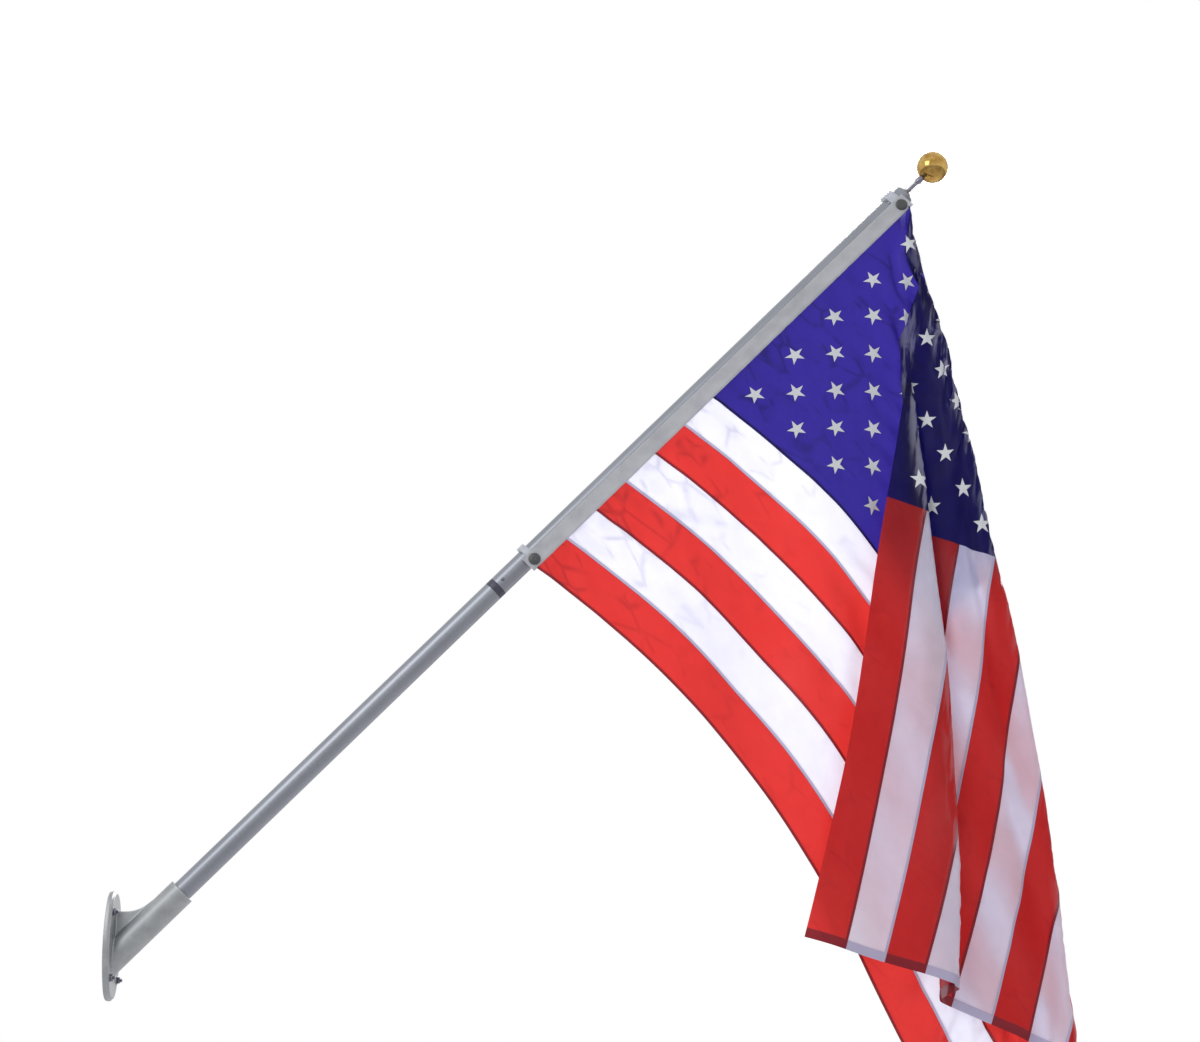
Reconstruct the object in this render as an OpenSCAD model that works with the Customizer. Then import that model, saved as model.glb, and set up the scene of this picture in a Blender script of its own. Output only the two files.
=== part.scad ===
// Wall-mounted flagpole that spins, with its flag hanging in folds.
// Origin: centre of the bracket plate's back face, on the wall.
// +X points away from the wall, +Z is up, and the pole lies in the XZ plane.

/* [Bracket] */
// Height of the oval plate
plate_h = 234; // [200:1:300]
// Width of the oval plate
plate_w = 128; // [110:1:170]
// Thickness of the oval plate
plate_t = 14; // [10:1:22]
// Radius of the plate's upper and lower ends
plate_end_r = 46; // [40:1:52]
// Width of the shallow step round the plate's front edge
plate_step = 4; // [2:0.5:8]
// Distance between bolt holes, side to side
bolt_span_y = 72; // [60:1:80]
// Distance between bolt holes, up and down
bolt_span_z = 140; // [120:1:150]
// Diameter of the bolt holes
bolt_hole_d = 9; // [6:0.5:12]
// Distance of the socket's axis below the plate's centre, at the plate's front face
axis_drop = 22; // [0:1:40]
// Angle of the pole above the horizontal
pole_angle = 45; // [35:1:55]
// Length of the socket along its axis, from the plate's front face to its mouth
socket_length = 198; // [180:1:260]
// Thickness of the socket's wall
socket_wall = 7; // [5:0.5:10]
// Depth of the socket's bore, which is the length of pole inside it
socket_depth = 151; // [100:1:155]
// Thickness of the web over the socket
web_t = 18; // [10:1:30]
// Length of bare socket between its mouth and the web
web_setback = 60; // [40:1:80]
// Radius of the curve where the web runs out along the socket
web_curve_r = 80; // [50:1:110]

/* [Pole] */
// Outer diameter of the pole
pole_d = 46; // [38:1:51]
// Thickness of the pole's wall
pole_wall = 2.5; // [1.5:0.5:4]
// Length of pole from the socket's mouth to the turning joint
lower_reach = 942; // [700:1:1015]
// Length of pole from the socket's mouth to its top end
pole_reach = 2287; // [2220:1:2400]

/* [Turning joint] */
// Visible length of the black collar
collar_length = 17; // [8:1:30]
// Diameter of the spindle inside the joint
spindle_d = 22; // [16:1:28]
// Length of the spindle's plug in the lower tube
plug_length = 90; // [50:1:140]
// Length of the bushing inside the upper tube
bushing_length = 70; // [40:1:120]

/* [Rings and buttons] */
// Distance from the pole's top end down to the middle of the upper ring
upper_ring_drop = 34; // [26:1:60]
// Length of the lower ring
lower_ring_length = 16; // [14:1:24]
// Length of the upper ring
upper_ring_length = 23; // [14:1:28]
// Thickness of the rings' wall
ring_wall = 8; // [5:0.5:10]
// Depth of the flat on the rings that backs the header tape
ring_flat = 2; // [1:0.5:4]
// Diameter of the buttons that hold the header
button_d = 27; // [22:1:32]
// Height of a button's head
button_h = 5; // [3:0.5:8]
// Diameter of a button's shank
shank_d = 10; // [6:0.5:14]

/* [Finial] */
// Height of the cap on the pole's end
cap_h = 12; // [8:1:20]
// Diameter of the stem
stem_d = 9; // [6:0.5:12]
// Bare length of the stem, from the cap to the lock sleeve
stem_length = 30; // [20:1:50]
// Diameter of the lock sleeve under the ball
sleeve_d = 15; // [13:0.5:20]
// Length of the lock sleeve
sleeve_length = 19; // [10:1:30]
// Length of the lock sleeve's coned lower end
sleeve_cone = 5; // [2:0.5:8]
// Diameter of the ball
ball_d = 75; // [60:1:90]

/* [Flag] */
// Hoist of the flag, along the header
hoist = 1219; // [1150:1:1225]
// Fly of the flag, from the header tape's outer edge
fly = 1780; // [1600:1:1900]
// Share of the fly that the canton takes
canton_fly_share = 0.42; // [0.36:0.01:0.44]
// Width of the header tape
header_w = 38; // [30:1:45]
// Length that the header tape stands beyond the hoist at each end
header_extra = 9; // [0:1:14]
// Distance from each end of the header tape to its eyelet
eyelet_inset = 20; // [14:1:28]
// Thickness of the header tape
header_t = 2; // [1.5:0.5:3]
// Thickness of the cloth
cloth_t = 2; // [1:0.5:3]
// Gap at the seams between the sewn strips
seam = 0.5; // [0.3:0.1:0.8]

/* [Drape] */
// Slope below the horizontal at which the threads leave the header
start_slope = 36; // [30:1:44]
// Slope to which every thread falls
hang_slope = 58; // [48:1:64]
// Length over which a thread falls to that slope
fall_length = 980; // [700:10:1200]
// Depth by which the threads beside the canton sag further
sag = 115; // [0:5:160]
// Length over which the upper edge takes that sag
sag_length = 110; // [80:5:300]
// Growth of that length for each millimetre below the upper edge
sag_growth = 2.5; // [1:0.1:4]
// Length by which the threads away from the upper edge fall short, hanging slack
slack = 45; // [0:5:100]
// Distance below the upper edge over which that slack grows
slack_depth = 400; // [200:10:800]
// Lean of the outer fold from straight down, away from the wall
outer_lean = 11.5; // [6:0.5:18]
// Lean of the inner fold from straight down, away from the wall
inner_lean = 5; // [2:0.5:8]
// Distance below the upper hoist corner where the inner pleat starts
pleat_start = 330; // [250:5:500]
// Distance towards the wall at which it starts
pleat_offset = 16; // [0:1:60]
// Depth of the inner pleat
pleat_depth = 52; // [20:1:80]
// Length over which the inner pleat grows deep
pleat_run = 140; // [60:5:400]
// Radius of the outer fold at its upper end
fold_r = 4; // [3:0.5:10]
// Radius of the inner pleat's creases at their upper ends
pleat_r = 3; // [2:0.5:8]
// Growth of the folds' radius for each millimetre of their length
fold_growth = 0.008; // [0.004:0.001:0.014]
// Backward tilt of the cloth, as a share of its distance from the header
tilt = 0.06; // [0:0.005:0.1]
// Height of the soft ripples
ripple = 14; // [0:1:24]
// Distance between the ripples
ripple_pitch = 330; // [200:10:500]
// Distance from the header over which the ripples grow
ripple_fade = 500; // [200:10:800]
// Swing of the hanging end towards the wall
sway = 80; // [0:5:120]
// Distance below the upper hoist corner where that swing starts
sway_start = 900; // [600:10:1200]
// Drop over which the cloth swings that far
sway_drop = 1000; // [800:10:1400]

/* [Hidden] */

$fn = 96;

// Clearances
slip_gap = 0.3;
running_gap = 0.05;
cut = 1;

// Colours
cast_grey = [0.62, 0.63, 0.65];
satin_grey = [0.68, 0.69, 0.72];
black = [0.08, 0.08, 0.09];
dark_grey = [0.25, 0.27, 0.27];
clear_white = [0.85, 0.87, 0.88];
tape_white = [0.86, 0.86, 0.87];
gold = [0.83, 0.66, 0.28];
flag_red = [0.80, 0.13, 0.14];
flag_white = [0.95, 0.95, 0.97];
flag_blue = [0.17, 0.13, 0.45];

// Pole: distances from here on run along its axis, from the plate's front face
pole_r = pole_d / 2;
tube_r = pole_r - pole_wall;
mouth = socket_length;
butt = mouth - socket_depth;
joint_at = mouth + lower_reach;
collar_top = joint_at + slip_gap + collar_length;
pole_top = mouth + pole_reach;
socket_r = pole_r + slip_gap + socket_wall;

// Rings, header and buttons: positions across the pole, away from the wall and down
ring_r = pole_r + ring_wall;
button_across = header_w / 2;
tape_back = ring_r - ring_flat;
button_out = tape_back + header_t;
header_length = hoist + 2 * header_extra;
upper_ring_mid = pole_top - upper_ring_drop;
lower_ring_mid = upper_ring_mid - header_length + 2 * eyelet_inset;
header_mid = (lower_ring_mid + upper_ring_mid) / 2;

// Flag
stripes = 13;
canton_stripes = 7;
stripe_w = hoist / stripes;
cloth_fly = fly - header_w;
canton_fly = fly * canton_fly_share;
canton_hoist = canton_stripes * stripe_w;
hoist_top = header_mid + hoist / 2;
cloth_step = 30;
strip_cells = 3;

// Directions in the XZ plane: along the pole, and across it away from the wall
pole_along = [cos(pole_angle), sin(pole_angle)];
pole_across = [sin(pole_angle), -cos(pole_angle)];

// Upper hoist corner of the cloth, as [x, z]
corner = [plate_t, -axis_drop] + pole_along * hoist_top + pole_across * header_w;
// Start of the inner pleat, as [x, z]
pleat_at = corner - [pleat_offset, pleat_start];

// Moves its children so that +Z runs up the pole from the plate's front face,
// +X points across it away from the wall, and Y stays as it is
module on_pole(along = 0) {
  translate([plate_t, 0, -axis_drop]) rotate([0, 90 - pole_angle, 0]) translate([0, 0, along]) children();
}

// Hollow round tube along +Z
module tube(outer_r, inner_r, length) {
  rotate_extrude() translate([inner_r, 0]) square([outer_r - inner_r, length]);
}

// Oval of four arcs, drawn with its height along Y and smaller all round by inset
module oval(inset = 0) {
  half_h = plate_h / 2 - inset;
  half_w = plate_w / 2 - inset;
  end_r = plate_end_r - inset;
  end_at = half_h - end_r;
  side_r = (half_w * half_w + end_at * end_at - end_r * end_r) / (2 * (half_w - end_r));
  side_at = side_r - half_w;
  meet = side_r * end_at / (side_r - end_r);
  intersection() {
    translate([-side_at, 0]) circle(r = side_r, $fn = 240);
    translate([side_at, 0]) circle(r = side_r, $fn = 240);
    square([plate_w, 2 * meet], center = true);
  }
  for (side = [-1, 1]) translate([0, side * end_at]) circle(r = end_r);
}

// Web over the socket, in the XZ plane from the axis' foot on the plate's front face
module web_outline() {
  tip = pole_along * (mouth - web_setback) - pole_across * socket_r;
  curve_at = tip - pole_across * web_curve_r;
  floor_z = curve_at[1] - web_curve_r;
  difference() {
    polygon([[-plate_t / 2, 0], [-plate_t / 2, floor_z], [curve_at[0], floor_z], tip,
      pole_along * (mouth - web_setback)]);
    translate(curve_at) circle(r = web_curve_r, $fn = 180);
  }
}

// Web standing over the socket
module web() {
  translate([plate_t, web_t / 2, -axis_drop]) rotate([90, 0, 0]) linear_extrude(web_t) web_outline();
}

// One casting: oval plate, slanting socket and web
module wall_bracket() {
  color(cast_grey) difference() {
    union() {
      rotate([90, 0, 90]) linear_extrude(plate_t - plate_step) oval();
      rotate([90, 0, 90]) linear_extrude(plate_t) oval(plate_step);
      intersection() {
        on_pole(-socket_r * 2) cylinder(r = socket_r, h = mouth + socket_r * 2);
        translate([plate_t / 2, -plate_w, -plate_h]) cube([2 * mouth, 2 * plate_w, 3 * plate_h]);
      }
      web();
    }
    on_pole(butt) cylinder(r = pole_r + slip_gap, h = socket_depth + cut);
    for (y = [-1, 1], z = [-1, 1])
      translate([-cut, y * bolt_span_y / 2, z * bolt_span_z / 2])
        rotate([0, 90, 0]) cylinder(d = bolt_hole_d, h = plate_t + 2 * cut);
  }
}

module lower_pole() {
  color(satin_grey) on_pole(butt) tube(pole_r, tube_r, joint_at - butt);
}

// Plug fixed in the lower tube, with the shaft that the upper part turns on
module spindle() {
  color(cast_grey) on_pole(joint_at) {
    translate([0, 0, -plug_length]) cylinder(r = tube_r, h = plug_length);
    cylinder(d = spindle_d, h = slip_gap + collar_length + bushing_length);
  }
}

// Black collar between the tubes, in one piece with the bushing in the upper tube
module joint_bushing() {
  color(black) on_pole(joint_at + slip_gap) difference() {
    union() {
      cylinder(r = pole_r, h = collar_length);
      cylinder(r = tube_r, h = collar_length + bushing_length);
    }
    translate([0, 0, -cut])
      cylinder(r = spindle_d / 2 + running_gap, h = collar_length + bushing_length + 2 * cut);
  }
}

module upper_pole() {
  color(satin_grey) on_pole(collar_top) tube(pole_r, tube_r, pole_top - collar_top);
}

// Ring round the pole, with a flat pad on one side that backs the header tape
module header_ring(length) {
  color(clear_white) difference() {
    union() {
      cylinder(r = ring_r, h = length);
      translate([0, -tape_back, 0]) cube([button_across + button_d / 2, tape_back, length]);
    }
    translate([0, 0, -cut]) cylinder(r = pole_r + slip_gap, h = length + 2 * cut);
    translate([button_across, -tape_back - cut, length / 2])
      rotate([-90, 0, 0]) cylinder(d = shank_d + 2 * slip_gap, h = tape_back + cut);
    translate([-ring_r - cut, -ring_r - cut, -cut])
      cube([2 * ring_r + button_d, ring_flat + cut, length + 2 * cut]);
  }
}

module lower_ring() {
  on_pole(lower_ring_mid - lower_ring_length / 2) header_ring(lower_ring_length);
}

module upper_ring() {
  on_pole(upper_ring_mid - upper_ring_length / 2) header_ring(upper_ring_length);
}

// Button with a domed head, whose shank goes through the tape into the ring's pad
module button() {
  dome_r = (button_d * button_d / 4 + button_h * button_h) / (2 * button_h);
  color(dark_grey) translate([button_across, -button_out, 0]) rotate([90, 0, 0]) {
    intersection() {
      translate([0, 0, button_h - dome_r]) sphere(r = dome_r, $fn = 180);
      cylinder(d = button_d, h = button_h);
    }
    translate([0, 0, -header_t - ring_wall]) cylinder(d = shank_d, h = header_t + ring_wall + button_h / 2);
  }
}

module lower_button() {
  on_pole(lower_ring_mid) button();
}

module upper_button() {
  on_pole(upper_ring_mid) button();
}

// Flat woven tape along the hoist, held against both rings
module header_tape() {
  color(tape_white) on_pole(header_mid) difference() {
    translate([0, -button_out, -header_length / 2]) cube([header_w - seam, header_t, header_length]);
    for (at = [lower_ring_mid, upper_ring_mid])
      translate([button_across, -button_out - cut, at - header_mid])
        rotate([-90, 0, 0]) cylinder(d = shank_d + 2 * slip_gap, h = header_t + 2 * cut);
  }
}

// Coned cap with a spigot in the tube
module end_cap() {
  color(satin_grey) on_pole(pole_top) {
    cylinder(r1 = pole_r, r2 = stem_d, h = cap_h);
    translate([0, 0, -pole_d / 2]) cylinder(r = tube_r, h = pole_d / 2);
  }
}

module finial_stem() {
  color(satin_grey) on_pole(pole_top + cap_h) cylinder(d = stem_d, h = stem_length);
}

// Sleeve with a coned lower end
module lock_sleeve() {
  color(satin_grey) on_pole(pole_top + cap_h + stem_length) {
    cylinder(d1 = stem_d, d2 = sleeve_d, h = sleeve_cone);
    translate([0, 0, sleeve_cone]) cylinder(d = sleeve_d, h = sleeve_length - sleeve_cone);
  }
}

// Ball with a flat on which the sleeve bears
module finial_ball() {
  ball_r = ball_d / 2;
  flat_at = sqrt(ball_r * ball_r - sleeve_d * sleeve_d / 4);
  color(gold) on_pole(pole_top + cap_h + stem_length + sleeve_length) intersection() {
    translate([0, 0, flat_at]) sphere(r = ball_r, $fn = 180);
    cylinder(r = ball_d, h = 2 * ball_d);
  }
}

// Soft step from 0 to 1
function ease(share) = let (t = min(1, max(0, share))) t * t * (3 - 2 * t);

// Course of the thread at distance d below the upper edge, as [x, z] from the header, at u along the fly
function thread(u, d) =
  let (
    reach = u - slack * min(1, d / slack_depth) * pow(u / cloth_fly, 2),
    turned = min(reach, fall_length),
    chord = start_slope + (hang_slope - start_slope) * turned / fall_length / 2,
    beside_canton = 1 - ease((d - canton_hoist) / (hoist - canton_hoist)),
    drawn = sag * beside_canton * ease(reach / (sag_length + sag_growth * d))
  )
  turned * [cos(chord), -sin(chord)] + (reach - turned) * [cos(hang_slope), -sin(hang_slope)]
    - drawn * [sin(hang_slope), cos(hang_slope)];

// Where a point [x, y, z] lies along a crease and to its side. The crease starts at [x, z]
// and leans from straight down.
function along_of(p, at, lean) = ([p[0], p[2]] - at) * [sin(lean), -cos(lean)];
function side_of(p, at, lean) = ([p[0], p[2]] - at) * [cos(lean), sin(lean)];

// That point after the cloth turns back round the crease, or round one that stands inset
// from it towards the wall; side is 1 where cloth beyond it comes back from the right
function turn_back(p, at, lean, side, start_r, inset = 0) =
  let (
    down = [sin(lean), -cos(lean)],
    away = [cos(lean), sin(lean)],
    along = along_of(p, at, lean),
    beyond = side * (side_of(p, at, lean) + inset),
    r = start_r + fold_growth * max(0, along),
    quarter = PI * r / 2,
    bend = (beyond + quarter) / r * 180 / PI,
    out = beyond < -quarter ? [beyond, 0]
      : beyond > quarter ? [-beyond, -2 * r]
      : [r * sin(bend) - quarter, -r * (1 - cos(bend))],
    flat = at + down * along + away * (side * out[0] - inset)
  )
  [flat[0], p[1] + out[1], flat[1]];

// The cloth's three turns: the outer fold, then the two creases of the inner pleat
function pleat_inset(p) =
  pleat_depth * (1 - exp(-max(0, along_of(p, pleat_at, inner_lean)) / pleat_run));
function after_pleat(p) =
  let (
    inset = pleat_inset(p),
    q = turn_back(p, pleat_at, inner_lean, -1, pleat_r, inset)
  )
  side_of(p, pleat_at, inner_lean) + inset > 0 ? q : turn_back(q, pleat_at, inner_lean, 1, pleat_r);
function after_folds(p) =
  let (q = turn_back(p, corner, outer_lean, 1, fold_r))
  side_of(p, corner, outer_lean) > 0 ? after_pleat(q) : q;

// Point of the hanging cloth at u along the fly and d below the upper edge
function cloth(u, d) =
  let (
    start = corner - pole_along * d,
    course = start + thread(u, d),
    q = after_folds([course[0], -button_out + header_t / 2, course[1]]),
    below = max(0, ([q[0], q[2]] - corner) * pole_across),
    wave = ripple * min(1, below / ripple_fade) * sin(360 * q[0] / ripple_pitch),
    swing = sway * pow(max(0, corner[1] - q[2] - sway_start) / sway_drop, 2)
  )
  [q[0] - swing, q[1] + tilt * below + wave, q[2]];

// Unit normal of the hanging cloth
function cloth_normal(u, d) =
  let (
    step = 0.5,
    n = cross(cloth(u + step, d) - cloth(u - step, d), cloth(u, d + step) - cloth(u, d - step))
  )
  n / norm(n);

// Even stations from one distance to another, and a list with one of them moved
function stations(from, to) =
  let (cells = ceil((to - from) / cloth_step)) [for (i = [0 : cells]) from + (to - from) * i / cells];
function moved(list, at, by) = [for (i = [0 : len(list) - 1]) i == at ? list[i] + by : list[i]];

// Stations along the fly: across the canton, and from the canton's edge to the fly end
canton_us = stations(0, canton_fly);
stripe_us = stations(canton_fly, cloth_fly);
long_us = concat(canton_us, [for (i = [1 : len(stripe_us) - 1]) stripe_us[i]]);

// Piece of the hanging cloth, at stations us along the fly and from d0 to d1 below the upper edge
module cloth_piece(us, d0, d1, cells) {
  columns = len(us) - 1;
  row = cells + 1;
  side_points = len(us) * row;
  points = [
    for (face = [-1, 1], u = us, j = [0 : cells])
      let (d = d0 + (d1 - d0) * j / cells) cloth(u, d) + face * cloth_t / 2 * cloth_normal(u, d)
  ];
  rim = concat(
    [for (i = [0 : columns - 1]) i * row],
    [for (j = [0 : cells - 1]) columns * row + j],
    [for (i = [columns : -1 : 1]) i * row + cells],
    [for (j = [cells : -1 : 1]) j]
  );
  faces = concat(
    [for (i = [0 : columns - 1], j = [0 : cells - 1], half = [0, 1])
      let (a = i * row + j) half == 0 ? [a, a + row, a + row + 1] : [a, a + row + 1, a + 1]],
    [for (i = [0 : columns - 1], j = [0 : cells - 1], half = [0, 1])
      let (a = side_points + i * row + j) half == 0 ? [a, a + row + 1, a + row] : [a, a + 1, a + row + 1]],
    [for (k = [0 : len(rim) - 1], half = [0, 1])
      let (a = rim[k], b = rim[(k + 1) % len(rim)], far_a = a + side_points, far_b = b + side_points)
        b > a ? (half == 0 ? [a, far_b, b] : [a, far_a, far_b])
        : (half == 0 ? [a, far_a, b] : [far_a, far_b, b])]
  );
  polyhedron(points, faces);
}

// One sewn strip, counted from the upper edge
module stripe(n) {
  us = n <= canton_stripes ? moved(stripe_us, 0, seam / 2) : long_us;
  color(n % 2 == 1 ? flag_red : flag_white)
    cloth_piece(us, (n - 1) * stripe_w + seam / 2, n * stripe_w - seam / 2, strip_cells);
}

module canton() {
  us = moved(canton_us, len(canton_us) - 1, -seam / 2);
  color(flag_blue) cloth_piece(us, seam / 2, canton_hoist - seam / 2, canton_stripes * strip_cells);
}

wall_bracket();
lower_pole();
spindle();
joint_bushing();
upper_pole();
lower_ring();
upper_ring();
lower_button();
upper_button();
header_tape();
end_cap();
finial_stem();
lock_sleeve();
finial_ball();
canton();
stripe(1);  // stripe_01
stripe(2);  // stripe_02
stripe(3);  // stripe_03
stripe(4);  // stripe_04
stripe(5);  // stripe_05
stripe(6);  // stripe_06
stripe(7);  // stripe_07
stripe(8);  // stripe_08
stripe(9);  // stripe_09
stripe(10);  // stripe_10
stripe(11);  // stripe_11
stripe(12);  // stripe_12
stripe(13);  // stripe_13
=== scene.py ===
"""Looks of a wall-mounted flagpole that spins, with a sewn nylon flag hanging in folds from it."""

import logging
import math
from contextlib import contextmanager
from dataclasses import dataclass, field
from enum import Enum
from typing import Any, Iterator, Optional, Sequence, Union

import bmesh
import bpy
import numpy as np
from mathutils import Matrix, Vector, noise


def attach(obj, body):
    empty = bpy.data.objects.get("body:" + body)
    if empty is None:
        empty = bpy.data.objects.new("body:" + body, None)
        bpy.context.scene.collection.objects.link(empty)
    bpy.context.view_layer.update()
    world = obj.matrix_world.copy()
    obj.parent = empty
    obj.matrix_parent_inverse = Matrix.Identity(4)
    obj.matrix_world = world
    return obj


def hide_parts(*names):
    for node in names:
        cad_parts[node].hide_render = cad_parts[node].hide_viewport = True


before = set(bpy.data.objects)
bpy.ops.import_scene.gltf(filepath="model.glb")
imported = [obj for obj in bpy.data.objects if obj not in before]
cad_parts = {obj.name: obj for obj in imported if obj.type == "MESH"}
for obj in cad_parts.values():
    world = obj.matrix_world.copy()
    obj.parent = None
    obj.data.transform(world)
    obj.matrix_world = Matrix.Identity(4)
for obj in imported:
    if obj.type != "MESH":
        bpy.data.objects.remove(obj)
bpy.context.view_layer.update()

LOG = logging.getLogger("flagpole")
MM = 0.001

Colour = tuple[float, float, float]
Inputs = dict[Union[int, str], Any]
Array = np.ndarray
Material = bpy.types.Material
Node = bpy.types.Node
Socket = bpy.types.NodeSocket
Piece = bpy.types.Object
World = bpy.types.World


class Body(str, Enum):
    """The two bodies of the part."""

    BASE = "base"
    SPINNER = "spinner"


class Slot(str, Enum):
    """Material slots of the record."""

    CAST = "cast_aluminium"
    POLE = "pole_aluminium"
    NYLON = "black_nylon"
    RING = "ring_plastic"
    BUTTON = "button_plastic"
    CANVAS = "header_canvas"
    GOLD = "gold_ball"
    RED = "red_cloth"
    WHITE = "white_cloth"
    BLUE = "blue_cloth"


def srgb(red: int, green: int, blue: int) -> Colour:
    """Turns a colour of 0 to 255 a channel into scene-linear values.

    Args:
        red: Red channel.
        green: Green channel.
        blue: Blue channel.

    Returns:
        The linear colour.
    """
    def linear(channel: int) -> float:
        """One channel, linear."""
        c = channel / 255
        return c / 12.92 if c <= 0.04045 else ((c + 0.055) / 1.055) ** 2.4

    return (linear(red), linear(green), linear(blue))


Number = Union[float, "Shade"]


class Shade:
    """A shader socket that takes part in Python arithmetic through Math nodes."""

    def __init__(self, graph: "Graph", socket: Socket) -> None:
        """Keeps the graph and the output socket."""
        self.graph = graph
        self.socket = socket

    def math(self, operation: str, *others: Number, clamp: bool = False) -> "Shade":
        """Adds one Math node.

        Args:
            operation: The Math node's operation.
            others: The node's further inputs.
            clamp: Whether the result stays between 0 and 1.

        Returns:
            The node's result.
        """
        inputs = dict(enumerate((self, *others)))
        return self.graph.out("ShaderNodeMath", {"operation": operation, "use_clamp": clamp}, inputs)

    def __add__(self, other: Number) -> "Shade":
        """Sum."""
        return self.math("ADD", other)

    __radd__ = __add__

    def __sub__(self, other: Number) -> "Shade":
        """Difference."""
        return self.math("SUBTRACT", other)

    def __rsub__(self, other: float) -> "Shade":
        """Difference from a number."""
        return (self * -1.0) + other

    def __mul__(self, other: Number) -> "Shade":
        """Product."""
        return self.math("MULTIPLY", other)

    __rmul__ = __mul__

    def above(self, edge: float, soft: float) -> "Shade":
        """A mask that rises from 0 to 1 over a soft edge.

        Args:
            edge: Value at the middle of the rise.
            soft: Width of the rise.

        Returns:
            The mask.
        """
        inputs = {"Value": self, "From Min": edge - soft / 2, "From Max": edge + soft / 2}
        return self.graph.out("ShaderNodeMapRange", {"interpolation_type": "SMOOTHSTEP"}, inputs)

    def sine(self) -> "Shade":
        """Sine of the value in radians."""
        return self.math("SINE")


class Graph:
    """One material or world, and the nodes that make it."""

    def __init__(self, name: str, world: bool = False) -> None:
        """Starts a material, or a world, without any node.

        Args:
            name: Its name.
            world: Whether it is a world.
        """
        self.owner = (bpy.data.worlds if world else bpy.data.materials).new(name)
        self.owner.use_nodes = True
        self.tree = self.owner.node_tree
        self.tree.nodes.clear()

    def node(self, kind: str, settings: Optional[dict[str, Any]] = None,
             inputs: Optional[Inputs] = None) -> Node:
        """Adds a node.

        Args:
            kind: The node's type.
            settings: Properties, set first.
            inputs: Values, Shades or sockets by socket name or number.

        Returns:
            The node.
        """
        made = self.tree.nodes.new(kind)
        for key, value in (settings or {}).items():
            setattr(made, key, value)
        for key, value in (inputs or {}).items():
            socket = value.socket if isinstance(value, Shade) else value
            if isinstance(socket, Socket):
                self.tree.links.new(socket, made.inputs[key])
            else:
                made.inputs[key].default_value = socket
        return made

    def out(self, kind: str, settings: Optional[dict[str, Any]] = None,
            inputs: Optional[Inputs] = None, output: Union[int, str] = 0) -> Shade:
        """Adds a node and returns one of its outputs as a Shade."""
        return Shade(self, self.node(kind, settings, inputs).outputs[output])

    def blend(self, factor: Number, first: Any, second: Any) -> Socket:
        """Mixes two colours.

        Args:
            factor: 0 for the first, 1 for the second.
            first: A colour or a colour socket.
            second: A colour or a colour socket.

        Returns:
            The mixed colour's socket.
        """
        def full(colour: Any) -> Any:
            """A colour with its alpha, or the socket as it is."""
            return colour if isinstance(colour, Socket) else (*colour, 1.0)

        inputs = {0: factor, 6: full(first), 7: full(second)}
        return self.node("ShaderNodeMix", {"data_type": "RGBA"}, inputs).outputs[2]

    def place(self, kind: str = "Object") -> Socket:
        """Coordinates on the piece: Object, or UV."""
        return self.node("ShaderNodeTexCoord").outputs[kind]

    def turned(self, vector: Socket, angle: float = 0.0,
               scale: Sequence[float] = (1, 1, 1)) -> Socket:
        """Coordinates turned about Y, then stretched.

        Args:
            vector: The coordinates.
            angle: The turn in degrees.
            scale: The stretch along each axis.

        Returns:
            The new coordinates.
        """
        rotation = (0, math.radians(angle), 0)
        turn = self.node("ShaderNodeMapping", None, {"Vector": vector, "Rotation": rotation})
        stretch = self.node("ShaderNodeMapping", None, {"Vector": turn.outputs[0], "Scale": tuple(scale)})
        return stretch.outputs[0]

    def noise(self, vector: Socket, scale: float, detail: float = 3.0,
              roughness: float = 0.55) -> Shade:
        """Soft noise from 0 to 1."""
        return self.out("ShaderNodeTexNoise", None,
                        {"Vector": vector, "Scale": scale, "Detail": detail, "Roughness": roughness})

    def bump(self, height: Shade, distance: float, strength: float = 1.0,
             under: Optional[Socket] = None) -> Socket:
        """A normal raised by a height of 0 to 1.

        Args:
            height: The height.
            distance: What a height of 1 measures, in metres.
            strength: Strength of the bump.
            under: A normal to build on.

        Returns:
            The normal's socket.
        """
        inputs: Inputs = {"Height": height, "Distance": distance, "Strength": strength}
        if under is not None:
            inputs["Normal"] = under
        return self.node("ShaderNodeBump", None, inputs).outputs[0]

    def lit_through(self, share: Number, body: Node, colour: Colour) -> Node:
        """Lets light pass through a thin sheet.

        Args:
            share: Share of the light that passes.
            body: The shader of the sheet's face.
            colour: Colour of the light that passes.

        Returns:
            The mixed shader's node.
        """
        light = self.node("ShaderNodeBsdfTranslucent", None, {"Color": (*colour, 1.0)})
        return self.node("ShaderNodeMixShader", None, {0: share, 1: body.outputs[0], 2: light.outputs[0]})

    def principled(self, **inputs: Any) -> Node:
        """A Principled shader.

        Args:
            inputs: Values or links of its sockets, whose names have underscores for spaces.

        Returns:
            The shader's node.
        """
        named = {key.replace("_", " "): value for key, value in inputs.items()}
        if isinstance(named.get("Base Color"), tuple):
            named["Base Color"] = (*named["Base Color"], 1.0)
        return self.node("ShaderNodeBsdfPrincipled", None, named)

    def finish(self, shader: Node) -> Union[Material, World]:
        """Sends a shader to the output.

        Args:
            shader: The shader's node.

        Returns:
            The finished material or world.
        """
        world = isinstance(self.owner, World)
        kind = "ShaderNodeOutputWorld" if world else "ShaderNodeOutputMaterial"
        self.node(kind, None, {"Surface": shader.outputs[0]})
        return self.owner


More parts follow.
